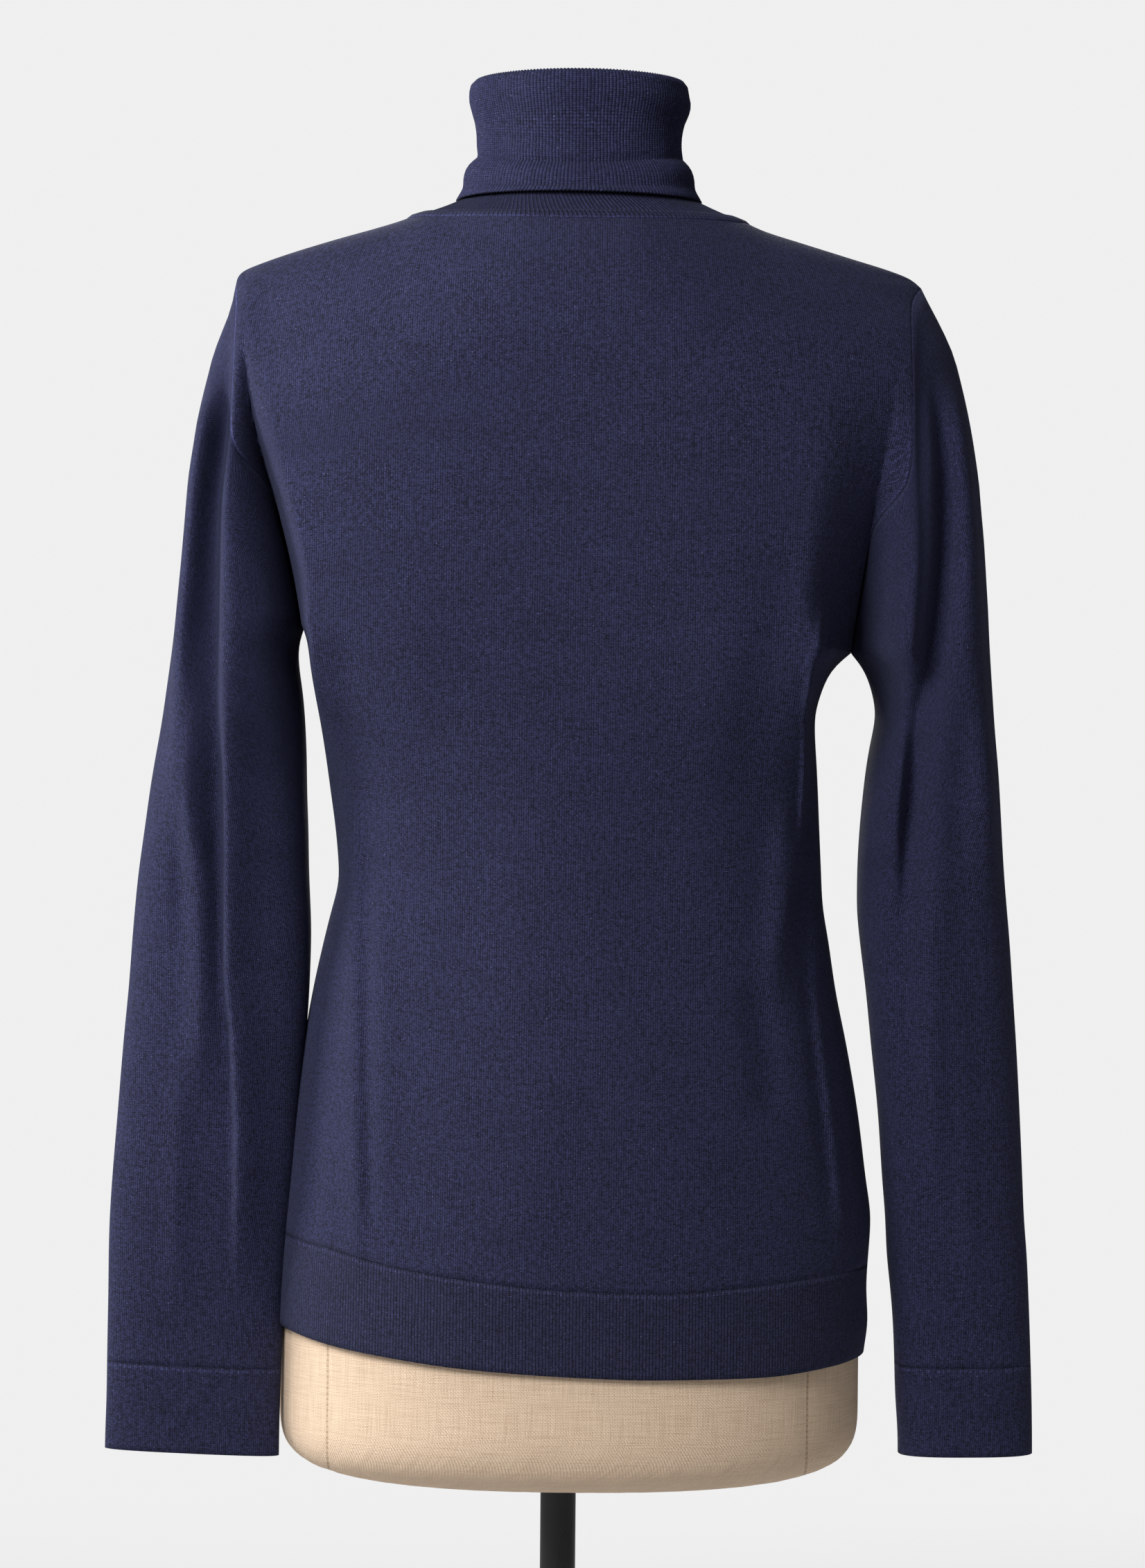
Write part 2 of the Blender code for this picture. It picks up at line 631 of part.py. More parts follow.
def sleeve(name, low, high, rows, to_cap, inset):
    """The grid of a sleeve or a cuff: rows up the arm, columns once round it from the inside."""
    side = SIDES[name]
    turn = np.linspace(0.0, 2 * np.pi, 2 * CAP_ROWS + 1)[:-1]
    across = (1 - np.cos(turn)) / 2
    face = np.where(turn <= np.pi + 1e-9, BACK, FRONT)
    base = np.linspace(low, high, rows + 1)
    climb = np.zeros(rows + 1)
    end = np.full(len(turn), high)
    if to_cap:
        end = side.seam_height(side.cap_width * (1 - across))
        climb = np.clip((base - 0.62) / (high - 0.62), 0.0, 1.0) ** 1.6
    z = base[:, None] + climb[:, None] * (end - high)[None, :]
    inside, outside = side.sleeve_edges(z)
    x = outside - (outside - inside) * (1 - across)[None, :]
    plain = (1 - 2 * across)[None, :] * np.ones_like(z)
    if to_cap:
        depth_inside = side.cap_width * (1 - across)
        end_part = np.clip(1 - depth_inside / 0.006, 0.0, 1.0)
        lean = step_up((0.905 - end) / 0.03) - end_part
        plain = plain * (1 - climb[:, None]) + climb[:, None] * lean[None, :]
    x = x + inset * plain
    grid = np.zeros(z.shape + (3,))
    ends = (across < 1e-9) | (across > 1 - 1e-9)
    least = np.where(ends, 0.0, LEAST_HALF_HOLLOW + WALL - inset)[None, :]
    for way in (BACK, FRONT):
        depth, centre = sleeve_depth(name, across[None, :], x, z, way, inset)
        swell = sleeve_folds(name, across[None, :], z, way)
        depth = np.maximum(depth + swell * step_up(depth / 0.02), least)
        here = face == way
        grid[:, here, 1] = (way * depth + centre)[:, here]
    grid[:, :, 0] = x * side.sign
    grid[:, :, 2] = z
    if to_cap:
        grid[:, :, 0] += side.sign * climb[:, None] ** 4 * seam_apart(side.cap_width * (1 - across))[None, :]
        grid[:, :, 2] -= 0.0004 * climb[:, None] ** 4 * end_part[None, :]
    return grid


def hem_band(face, inset):
    """The double band under the linking line."""
    across = np.array(ACROSS)
    hem = HEM_BACK if face == BACK else HEM_FRONT
    low = look_up(hem, 1, across)
    high = look_up(hem, 2, across) - HALF_GAP
    part = np.linspace(0.0, 1.0, BAND_ROWS + 1)[:, None]
    z = low[None, :] * (1 - part) + high[None, :] * part
    left = across[None, :] * (LEFT_SIDE.body_edge(z) - inset)
    right = across[None, :] * (RIGHT_SIDE.body_edge(z) - inset)
    x = np.where(across[None, :] > 0, left, right)
    on_left = body_depth(LEFT_SIDE, x, z, face, inset)
    on_right = body_depth(RIGHT_SIDE, x, z, face, inset)
    depth = np.maximum(np.where(x > 0, on_left, on_right), HALF_GAP)
    depth[:, 0] = HALF_GAP
    depth[:, -1] = HALF_GAP
    return np.stack([x, depth * face, z], axis=-1)


def finish(name, builder):
    bmesh.ops.recalc_face_normals(builder, faces=builder.faces)
    mesh = bpy.data.meshes.new(name)
    builder.to_mesh(mesh)
    builder.free()
    solid = bpy.data.objects.new(name, mesh)
    COLLECTION.objects.link(solid)
    return solid


def triangulate(builder):
    bmesh.ops.triangulate(builder, faces=builder.faces, quad_method="SHORT_EDGE")


def cloth_wall(name, outer, inner, closed):
    """A closed wall between an outer and an inner grid of the same rows and columns."""
    builder = bmesh.new()
    rows, columns = outer.shape[:2]
    skins = []
    for grid in (outer, inner):
        skins.append([[builder.verts.new(point) for point in row] for row in grid.tolist()])
    steps = columns if closed else columns - 1
    for skin in skins:
        for row in range(rows - 1):
            for col in range(steps):
                beside = (col + 1) % columns
                builder.faces.new(
                    (skin[row][col], skin[row][beside], skin[row + 1][beside], skin[row + 1][col])
                )
    out, into = skins
    for row in (0, rows - 1):
        for col in range(steps):
            beside = (col + 1) % columns
            builder.faces.new((out[row][col], out[row][beside], into[row][beside], into[row][col]))
    if not closed:
        for col in (0, columns - 1):
            for row in range(rows - 1):
                builder.faces.new((out[row][col], out[row + 1][col], into[row + 1][col], into[row][col]))
    triangulate(builder)
    return finish(name, builder)


def neck_seam(inset):
    """The neck seam as one closed line of points, from the left corner over the back."""
    points = []
    for face, rows in ((BACK, BACK_ROWS), (FRONT, FRONT_ROWS)):
        outer = panel(face, rows, 0.0)[-1]
        near = (outer[:, 0] < NECK_CORNER_LEFT + 1e-4) & (outer[:, 0] > -NECK_CORNER_RIGHT - 1e-4)
        line = panel(face, rows, inset)[-1][near]
        points.extend(line if face == BACK else line[::-1][1:-1])
    return np.array(points) + np.array([0.0, 0.0, COLLAR_LIFT])


def ring(radius, height, count, ribs=0.0, deeper=COLLAR_DEEPER):
    turn = 2 * np.pi * np.arange(count) / count
    wave = radius + ribs * np.where(np.arange(count) % 2 == 0, 1.0, -1.0)
    x = wave * np.cos(turn)
    y = COLLAR_MIDDLE_Y + deeper * wave * np.sin(turn)
    return np.stack([x, y, np.full(count, height)], axis=-1)


def collar():
    """One ribbed tube: its stand rises from the neck seam, folds over and comes down outside."""
    builder = bmesh.new()
    fine = 2 * RIB_COUNT
    coarse = COLLAR_SIDES
    loops = [neck_seam(0.0)]
    for height, outside, _, deeper in STAND:
        loops.append(ring(outside, height, coarse, 0.0, deeper))
    for height, radius in FLAP[::-1]:
        loops.append(ring(radius - COLLAR_WALL, height, coarse))
    for height, radius in FLAP:
        loops.append(ring(radius, height, fine, RIB_RISE))
    for height, radius in ROLL_TOP:
        loops.append(ring(radius, height, coarse))
    for height, outside, lower, deeper in STAND[::-1]:
        loops.append(ring(outside - COLLAR_WALL * (1 - lower), height - COLLAR_WALL * lower, coarse, 0.0, deeper))
    loops.append(neck_seam(WALL))
    made = []
    for loop in loops:
        made.append([builder.verts.new(point) for point in loop.tolist()])
    for first, second in zip(made, made[1:] + made[:1]):
        bridge(builder, first, second)
    triangulate(builder)
    return finish("collar", builder)


def bridge(builder, first, second):
    """Faces between two rings that turn the same way, also where their counts differ."""
    if len(first) == len(second):
        for k in range(len(first)):
            n = (k + 1) % len(first)
            builder.faces.new((first[k], first[n], second[n], second[k]))
        return
    turns = []
    for loop in (first, second):
        angle = np.array([np.arctan2(v.co.y - COLLAR_MIDDLE_Y, v.co.x) for v in loop])
        angle = np.unwrap(angle)
        turns.append(np.append(angle, angle[0] + 2 * np.pi))
    a = 0
    b = 0
    while a < len(first) or b < len(second):
        here = (first[a % len(first)], second[b % len(second)])
        along_first = b >= len(second)
        if a < len(first) and b < len(second):
            along_first = turns[0][a + 1] <= turns[1][b + 1]
        if along_first:
            a += 1
            builder.faces.new((*here, first[a % len(first)]))
        else:
            b += 1
            builder.faces.new((*here, second[b % len(second)]))


def form_section(z):
    """One level ring of the dress form."""
    turn = 2 * np.pi * np.arange(FORM_SIDES) / FORM_SIDES
    across = np.cos(turn)
    points = []
    round_under = float(round_end((FORM_BOTTOM + FORM_ROUNDING - z) / FORM_ROUNDING, 4.2))
    if z > FORM_BOTTOM + FORM_ROUNDING:
        round_under = 1.0
    for value, angle in zip(across, turn):
        side = LEFT_SIDE if value > 0 else RIGHT_SIDE
        face = BACK if angle < np.pi - 1e-9 else FRONT
        width = float(look_up(FORM, 1, z))
        line = side.shoulder_line(FORM_UNDER_CLOTH)
        if z > 0.985:
            reach = float(np.interp(-z, -line[1], line[0])) - 0.005 * float(step_up((z - 1.012) / 0.006))
            width = min(width, reach)
        neck = NECK_RADIUS + 0.006 * float(step_up((1.046 - z) / 0.02))
        edge = max(width, neck) if z > 0.985 else width
        x = value * edge
        shape = float(look_up(FORM, 1, z))
        depth = float(look_up(FORM, 2 if face == BACK else 3, z)) * float(round_end(x / shape, 2.3))
        dip = 0.0022 * float(step_up((0.122 - abs(x)) / 0.02))
        depth *= float(rise((side.arch_line(x, FORM_UNDER_CLOTH) - dip - z) / ARCH_HEIGHT))
        if z > 0.985:
            neck_depth = COLLAR_DEEPER * neck * float(round_end(x / neck, 2.0)) + face * COLLAR_MIDDLE_Y
            depth = (depth**6 + max(neck_depth, 0.0) ** 6) ** (1 / 6)
        if abs(abs(value) - 1) < 1e-9:
            depth = 0.0
        points.append((x * round_under, face * depth * round_under, z))
    return points


def dress_form():
    """The limbless form with a blind bore for its pole."""
    builder = bmesh.new()
    bore = []
    turn = 2 * np.pi * np.arange(FORM_SIDES) / FORM_SIDES
    bore_radius = POLE_RADIUS + 0.0002
    for height in (POLE_TOP + 0.0004, FORM_BOTTOM):
        x = POLE_X + bore_radius * np.cos(turn)
        y = bore_radius * np.sin(turn)
        bore.append(np.stack([x, y, np.full(FORM_SIDES, height)], axis=-1).tolist())
    flat = []
    for x, y, _ in form_section(FORM_ROWS[2]):
        flat.append((x * 0.80, y * 0.80, FORM_BOTTOM))
    rings = bore + [flat] + [form_section(z) for z in FORM_ROWS[1:]]
    made = []
    for loop in rings:
        made.append([builder.verts.new(point) for point in loop])
    for first, second in zip(made, made[1:]):
        bridge(builder, first, second)
    builder.faces.new(made[0])
    builder.faces.new(made[-1])
    triangulate(builder)
    return finish("dress_form", builder)


def cylinder(name, radius, low, high, sides, x, bevel=0.0):
    builder = bmesh.new()
    turn = 2 * np.pi * np.arange(sides) / sides
    profile = [(radius - bevel, low), (radius, low + bevel), (radius, high - bevel), (radius - bevel, high)]
    if bevel == 0.0:
        profile = [(radius, low), (radius, high)]
    made = []
    for size, height in profile:
        loop = np.stack([x + size * np.cos(turn), size * np.sin(turn), np.full(sides, height)], axis=-1)
        made.append([builder.verts.new(point) for point in loop.tolist()])
    for first, second in zip(made, made[1:]):
        bridge(builder, first, second)
    builder.faces.new(made[0])
    builder.faces.new(made[-1])
    triangulate(builder)
    return finish(name, builder)


def colour(solids, name, base, metallic, roughness):
    material = bpy.data.materials.new(name)
    material.use_nodes = True
    shader = material.node_tree.nodes["Principled BSDF"]
    shader.inputs["Base Color"].default_value = (*base, 1.0)
    shader.inputs["Metallic"].default_value = metallic
    shader.inputs["Roughness"].default_value = roughness
    for solid in solids:
        solid.data.materials.append(material)


clear_scene()
COLLECTION = bpy.data.collections.new("turtleneck_top_on_dress_form")
bpy.context.scene.collection.children.link(COLLECTION)

cloth = []
for piece, face, rows in (("back", BACK, BACK_ROWS), ("front", FRONT, FRONT_ROWS)):
    outer = panel(face, rows, 0.0)
    inner = panel(face, rows, WALL)
    cloth.append(cloth_wall(piece, outer, inner, False))
    outer = hem_band(face, 0.0)
    inner = hem_band(face, WALL)
    cloth.append(cloth_wall("hem_" + piece, outer, inner, False))

for name in SIDES:
    line = CUFF_LINE[name]
    armpit = SIDES[name].armpit
    outer = sleeve(name, line + HALF_GAP, armpit, SLEEVE_ROWS, True, 0.0)
    inner = sleeve(name, line + HALF_GAP, armpit, SLEEVE_ROWS, True, WALL)
    cloth.append(cloth_wall("sleeve_" + name, outer, inner, True))
    outer = sleeve(name, CUFF_EDGE[name], line - HALF_GAP, BAND_ROWS, False, 0.0)
    inner = sleeve(name, CUFF_EDGE[name], line - HALF_GAP, BAND_ROWS, False, WALL)
    cloth.append(cloth_wall("cuff_" + name, outer, inner, True))
cloth.append(collar())
colour(cloth, "navy_fine_knit", (0.022, 0.026, 0.052), 0.0, 0.85)

torso = dress_form()
colour([torso], "beige_linen", (0.60, 0.47, 0.34), 0.0, 0.9)
pole = cylinder("pole", POLE_RADIUS, BASE_THICKNESS + 0.0001, POLE_TOP, POLE_SIDES, POLE_X)
base = cylinder("base", BASE_RADIUS, 0.0, BASE_THICKNESS, BASE_SIDES, POLE_X, 0.0015)
colour([pole, base], "black_satin_metal", (0.02, 0.02, 0.022), 0.7, 0.45)

total = 0
for solid in COLLECTION.objects:
    count = len(solid.data.polygons)
    total += count
    print(f"{solid.name}: {count} triangles")
print(f"total: {total} triangles")
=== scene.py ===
# %% [markdown]
# # A fine-knit turtleneck top on a dress form
#
# The real thing is a thin merino jumper, seen from behind on a linen-covered dress form that stands on a
# steel pole. The solid model gives every piece its place. This script makes each piece again as a thin
# sheet of knit with its folds, ribs and stitches, and gives it a procedural finish.
#
# Z is up, the wearer's left is at +X and the back faces +Y. All lengths are in metres.

# %% Load the solid model
import json
import math

import bmesh
import bpy
import numpy as np
from mathutils import Matrix, Vector

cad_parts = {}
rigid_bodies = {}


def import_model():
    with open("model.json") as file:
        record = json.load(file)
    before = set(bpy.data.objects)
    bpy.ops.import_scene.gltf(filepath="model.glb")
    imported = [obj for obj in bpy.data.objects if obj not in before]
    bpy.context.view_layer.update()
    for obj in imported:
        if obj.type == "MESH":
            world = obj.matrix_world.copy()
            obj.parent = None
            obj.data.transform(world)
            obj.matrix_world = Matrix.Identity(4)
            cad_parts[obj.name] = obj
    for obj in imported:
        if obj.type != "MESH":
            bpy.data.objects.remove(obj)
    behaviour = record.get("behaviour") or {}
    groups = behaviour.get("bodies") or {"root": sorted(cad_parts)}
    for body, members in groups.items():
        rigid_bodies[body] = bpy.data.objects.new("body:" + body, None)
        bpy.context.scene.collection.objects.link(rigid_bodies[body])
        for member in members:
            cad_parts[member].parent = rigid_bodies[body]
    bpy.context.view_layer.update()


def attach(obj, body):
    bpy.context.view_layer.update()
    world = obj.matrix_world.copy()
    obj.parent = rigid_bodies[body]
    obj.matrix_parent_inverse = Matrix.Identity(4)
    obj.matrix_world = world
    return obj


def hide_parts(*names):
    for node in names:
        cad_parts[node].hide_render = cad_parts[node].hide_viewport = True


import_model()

# %% [markdown]
# ## Camera
#
# The photograph was taken from behind the garment with a long lens at about the height of the waist. The
# camera's place follows from the pixels: 0.385 mm a pixel at the middle of the body, 2.8 m away.

# %% Camera
CAMERA_DISTANCE = 2.80
CAMERA_HEIGHT = 0.712
CAMERA_SIDE = 0.001
FRAME_HEIGHT = 0.8713
CAMERA_ROLL = 0.0089

camera_data = bpy.data.cameras.new("photo_camera")
camera_data.sensor_fit = "VERTICAL"
camera_data.sensor_height = 36.0
camera_data.lens = 36.0 * CAMERA_DISTANCE / FRAME_HEIGHT
camera_data.clip_start = 0.1
camera = bpy.data.objects.new("photo_camera", camera_data)
bpy.context.scene.collection.objects.link(camera)
camera.matrix_world = (
    Matrix.Translation((CAMERA_SIDE, CAMERA_DISTANCE, CAMERA_HEIGHT))
    @ Matrix.Rotation(math.pi, 4, "Z")
    @ Matrix.Rotation(math.pi / 2, 4, "X")
    @ Matrix.Rotation(CAMERA_ROLL, 4, "Z")
)
bpy.context.scene.camera = camera
print(f"lens {camera_data.lens:.1f} mm")

# %% [markdown]
# ## Curves through tables
#
# A garment is easiest to describe by short tables: at this height the edge lies so far out. Each table is
# turned into a soft curve. `smooth` never overshoots its values, and `look_up` blurs the result a little,
# so that no row of a table shows as a band across the cloth.

# %% Curves through tables
BACK = 1
FRONT = -1


def table(columns, text):
    """Rows of so many numbers, written as plain text. Lengths in a table are metres."""
    return np.array(text.split(), dtype=float).reshape(-1, columns)


def path_length(points):
    """How far each point lies along a path."""
    steps = np.linalg.norm(np.diff(points, axis=0), axis=1)
    return np.concatenate([[0.0], np.cumsum(steps)])


def smooth(at, places, values):
    """A curve through the values that never overshoots them."""
    at = np.asarray(at, dtype=float)
    step = np.diff(places)
    slope = np.diff(values) / step
    tangent = np.zeros(len(places))
    tangent[0] = slope[0]
    tangent[-1] = slope[-1]
    same_way = slope[:-1] * slope[1:] > 0
    safe = np.where(same_way, slope[:-1] + slope[1:], 1.0)
    tangent[1:-1] = np.where(same_way, 2.0 * slope[:-1] * slope[1:] / safe, 0.0)
    spot = np.clip(np.searchsorted(places, at) - 1, 0, len(places) - 2)
    part = np.clip((at - places[spot]) / step[spot], 0.0, 1.0)
    a = (1 + 2 * part) * (1 - part) ** 2 * values[spot]
    b = part * (1 - part) ** 2 * step[spot] * tangent[spot]
    c = part**2 * (3 - 2 * part) * values[spot + 1]
    d = part**2 * (part - 1) * step[spot] * tangent[spot + 1]
    return a + b + c + d


def blurred(values, reach):
    """The values averaged with their neighbours, with both ends kept."""
    steps = np.arange(-3 * reach, 3 * reach + 1)
    weights = np.exp(-((steps / reach) ** 2) / 2)
    before = 2 * values[0] - values[3 * reach : 0 : -1]
    after = 2 * values[-1] - values[-2 : -2 - 3 * reach : -1]
    return np.convolve(np.concatenate([before, values, after]), weights / weights.sum(), "valid")


def look_up(rows, index, at):
    places = rows[:, 0]
    fine = np.linspace(places[0], places[-1], 801)
    return np.interp(at, fine, blurred(smooth(fine, places, rows[:, index]), 11))


def step_up(value):
    value = np.clip(value, 0.0, 1.0)
    return value * value * (3 - 2 * value)


def round_end(part, power):
    """1 in the middle and 0 at the end, like the quarter of an oval."""
    return np.clip(1 - np.abs(part) ** power, 0.0, 1.0) ** (1.0 / power)


def rise(part):
    return round_end(1 - np.clip(part, 0.0, 1.0), 2.0)


def bump(value, middle, width):
    return np.exp(-(((value - middle) / width) ** 2))


print("half way up a step:", float(step_up(0.5)))

# %% [markdown]
# ## The outlines
#
# These are the measured outlines of the worn garment. The depth is what a body of this size measures from
# its middle to its back and front. The side tables hold the edges of the body and of each sleeve.

# %% Depth and side outlines
# height, back, front
DEPTH = table(3, """
 .380 .1180 .1080
 .440 .1185 .1090
 .490 .1165 .1080
 .531 .1130 .1045
 .570 .1080 .0995
 .600 .1035 .0955
 .628 .0998 .0930
 .657 .0975 .0925
 .690 .0975 .0960
 .724 .0990 .1040
 .762 .1020 .1155
 .800 .1050 .1225
 .850 .1075 .1220
 .900 .1080 .1140
 .950 .1070 .1030
 .985 .1055 .0920
1.060 .1030 .0820
""")
# height, body, sleeve inside, sleeve outside
LEFT = table(4, """
.330 .1638 .1590 .2543
.349 .1638 .1590 .2542
.377 .1638 .1585 .2535
.396 .1638 .1580 .2534
.416 .1638 .1573 .2532
.435 .1630 .1565 .2530
.454 .1620 .1553 .2530
.474 .1605 .1535 .2526
.493 .1585 .1520 .2516
.531 .1540 .1500 .2492
.570 .1485 .1470 .2469
.599 .1436 .1455 .2448
.628 .1373 .1450 .2432
.647 .1326 .1459 .2418
.657 .1298 .1465 .2410
.666 .1303 .1469 .2400
.685 .1320 .1474 .2375
.705 .1349 .1484 .2350
.724 .1374 .1489 .2321
.743 .1402 .1499 .2288
.762 .1435 .1516 .2263
.782 .1464 .1544 .2237
.791 .1474 .1541 .2226
.798 .1510 .1510 .2219
""")
RIGHT = table(4, """
.330 .1625 .1824 .2568
.349 .1625 .1824 .2567
.377 .1625 .1806 .2561
.396 .1625 .1800 .2554
.416 .1655 .1791 .2546
.435 .1642 .1774 .2537
.454 .1653 .1753 .2527
.474 .1665 .1744 .2510
.493 .1638 .1727 .2501
.531 .1589 .1700 .2482
.570 .1520 .1658 .2459
.599 .1459 .1629 .2437
.628 .1415 .1592 .2416
.647 .1382 .1575 .2398
.666 .1373 .1577 .2381
.685 .1363 .1586 .2368
.705 .1354 .1604 .2355
.724 .1344 .1625 .2342
.740 .1333 .1652 .2326
.752 .1330 .1676 .2317
.762 .1362 .1657 .2311
.771 .1392 .1630 .2305
.780 .1440 .1592 .2299
.786 .1530 .1530 .2295
""")
print("outline rows:", len(DEPTH) + len(LEFT) + len(RIGHT))

# %% [markdown]
# ## Armholes and shoulders
#
# Over the armpit the body and the sleeve share one outline, with a fold between them that gets shallower
# towards the shoulder. The armhole seam leaves the bottom of that fold half way up and climbs beside it to
# the corner of the dropped shoulder.

# %% Armholes and shoulders
# height, outer edge, fold, fold depth, seam beyond the fold
LEFT_CAP = table(5, """
.798 .2219 .1510 1.00 .0000
.820 .2199 .1550  .96 .0000
.839 .2181 .1590  .90 .0000
.859 .2167 .1640  .84 .0000
.870 .2160 .1668  .80 .0006
.879 .2153 .1695  .74 .0033
.889 .2139 .1722  .66 .0108
.898 .2124 .1745  .58 .0128
.910 .2103 .1771  .48 .0112
.922 .2080 .1793  .36 .0088
.936 .2051 .1810  .22 .0068
.947 .2025 .1820  .09 .0057
.961 .1976 .1830  .00 .0045
.972 .1934 .1835  .00 .0043
.980 .1915 .1838  .00 .0050
.987 .1904 .1840  .00 .0064
""")
RIGHT_CAP = table(5, """
.786 .2295 .1530 1.00 .0000
.798 .2288 .1542  .90 .0000
.810 .2282 .1555  .76 .0000
.824 .2272 .1572  .62 .0000
.839 .2262 .1590  .50 .0000
.850 .2254 .1600  .43 .0005
.859 .2245 .1610  .37 .0042
.868 .2236 .1625  .32 .0105
.878 .2228 .1640  .27 .0152
.890 .2211 .1660  .22 .0150
.905 .2187 .1685  .15 .0130
.920 .2158 .1710  .09 .0106
.936 .2122 .1735  .04 .0080
.950 .2085 .1750  .01 .0065
.963 .2030 .1760  .00 .0057
.974 .1975 .1768  .00 .0055
.982 .1933 .1774  .00 .0072
.989 .1900 .1780  .00 .0120
""")
# pairs of a place outwards and a height
LEFT_SHOULDER = table(2, """
.0000 1.0480   .0250 1.0472   .0500 1.0415   .0750 1.0319   .0881 1.0281   .0969 1.0242   .1088 1.0204
.1357 1.0127   .1607 1.0050   .1790 .9985   .1866 .9951   .1899 .9908   .1904 .9870
""")
RIGHT_SHOULDER = table(2, """
.0000 1.0480   .0250 1.0472   .0500 1.0410   .0736 1.0319   .0813 1.0281   .0950 1.0228   .1000 1.0204
.1246 1.0127   .1504 1.0050   .1759 .9973   .1850 .9935   .1900 .9890
""")
# The columns of the side tables and of the cap tables.
BODY, INSIDE, OUTSIDE = 1, 2, 3
OUTER, FOLD, DEEP, BEYOND = 1, 2, 3, 4
SHOULDER_POINTS = 300
SHOULDER_BLUR = 3
ARCH_FALL = 0.30
NECK_CORNER_LEFT = 0.0969
NECK_CORNER_RIGHT = 0.0950
NECK_HEIGHT = {BACK: 1.0185, FRONT: 0.9850}
NECK_POWER = {BACK: 2.0, FRONT: 2.6}
ARCH_HEIGHT = 0.100
ARCH_CORNER = 0.1850


class Side:
    """One side of the garment: its outlines, its armpit and its shoulder."""

    def __init__(self, sign, below, cap, shoulder, neck_corner, body_bank, sleeve_bank, softness):
        self.sign = sign
        self.below = below
        self.cap = cap
        self.neck_corner = neck_corner
        self.body_bank = body_bank
        self.sleeve_bank = sleeve_bank
        self.softness = softness
        self.armpit = below[-1, 0]
        self.notch, self.notch_x = cap[-1, :2]
        self.cap_width = cap[0, 1] - cap[0, 2]
        along = path_length(shoulder)
        fine = np.linspace(0.0, along[-1], SHOULDER_POINTS)
        line = [blurred(smooth(fine, along, values), SHOULDER_BLUR) for values in shoulder.T]
        self.line_x, self.line_z = line

    def lifted(self, away, bank):
        """How far the cloth has risen out of the fold, from 0 in the fold to 1 past its bank."""
        part = away / bank
        return rise(part) * (1 - self.softness) + step_up(part / 1.15) * self.softness

    def bank(self, z):
        """The body's bank is wide over the armpit and narrow below it."""
        return self.body_bank * (0.30 + 0.70 * step_up((z - self.armpit + 0.030) / 0.065))

    def body_edge(self, z):
        return look_up(self.below, BODY, z)

    def outer_edge(self, z):
        """The outermost edge at a height, over the armpit and up the shoulder."""
        z = np.asarray(z, dtype=float)
        edge = np.where(z > self.armpit, look_up(self.cap, OUTER, z), look_up(self.below, OUTSIDE, z))
        steep = self.line_x > ARCH_CORNER
        up = np.interp(z, self.line_z[steep][::-1], self.line_x[steep][::-1])
        return np.where(z > self.notch, up, edge)

    def sleeve_edges(self, z):
        over = np.asarray(z) > self.armpit
        outer = np.where(over, self.outer_edge(z), look_up(self.below, OUTSIDE, z))
        return np.where(over, outer - self.cap_width, look_up(self.below, INSIDE, z)), outer

    def seam_inside(self, z):
        return self.outer_edge(z) - look_up(self.cap, FOLD, z) - look_up(self.cap, BEYOND, z)

    def seam_height(self, inside):
        """Where the armhole seam runs that far inside the outer edge."""
        heights = np.linspace(self.armpit, self.notch, 400)
        return np.interp(inside, self.seam_inside(heights)[::-1], heights[::-1])

    def shoulder_height(self, x):
        return np.interp(np.abs(x), self.line_x, self.line_z)

    def arch_line(self, x):
        """The shoulder line, carried straight on past the shoulder's corner."""
        flat = self.line_x < ARCH_CORNER
        line_x, line_z = self.line_x[flat], self.line_z[flat]
        past = np.abs(x) - line_x[-1]
        return np.where(past > 0, line_z[-1] - ARCH_FALL * past, np.interp(np.abs(x), line_x, line_z))


LEFT_SIDE = Side(1, LEFT, LEFT_CAP, LEFT_SHOULDER, NECK_CORNER_LEFT, 0.013, 0.034, 0.0)
RIGHT_SIDE = Side(-1, RIGHT, RIGHT_CAP, RIGHT_SHOULDER, NECK_CORNER_RIGHT, 0.032, 0.025, 0.60)
SIDES = {"left": LEFT_SIDE, "right": RIGHT_SIDE}
print("armpits at", float(LEFT_SIDE.armpit), float(RIGHT_SIDE.armpit))

# %% [markdown]
# ## Folds
#
# Cloth that hangs from a shoulder falls in soft upright folds. Each is placed between two points,
# and swells or sinks by its height. They differ in length, width and depth, as real ones do, and the front
# has folds of its own.

# %% Folds
# upper x, upper z, lower x, lower z, half width, height
BACK_FOLDS = table(6, """
 .1220 .690  .1152 .480 .0070  .0044
 .1050 .640  .1007 .490 .0090  .0024
 .1128 .660  .1084 .480 .0045 -.0018
 .1355 .610  .1394 .480 .0050 -.0020
-.1331 .805 -.1254 .760 .0028  .0030
-.1262 .768 -.1240 .690 .0020  .0052
-.1215 .680 -.1152 .640 .0040  .0024
-.1404 .790 -.1287 .755 .0024  .0030
-.1370 .795 -.1297 .760 .0024 -.0024
-.1171 .700 -.1104 .620 .0080  .0030
-.0997 .600 -.1074 .540 .0100 -.0050
-.1142 .690 -.1094 .600 .0080  .0034
-.1142 .830 -.0900 .700 .0170 -.0034
-.0823 .800 -.0755 .660 .0200  .0014
 .1258 .780  .1200 .700 .0110 -.0026
 .0871 .800  .1026 .650 .0180  .0012
-.1239 .640 -.1394 .500 .0050 -.0034
-.1316 .600 -.1471 .480 .0036  .0032
 .0465 .700  .0678 .560 .0240 -.0014
-.0339 .720 -.0484 .580 .0260 -.0014
 .0097 .560  .0232 .470 .0200  .0010
""")
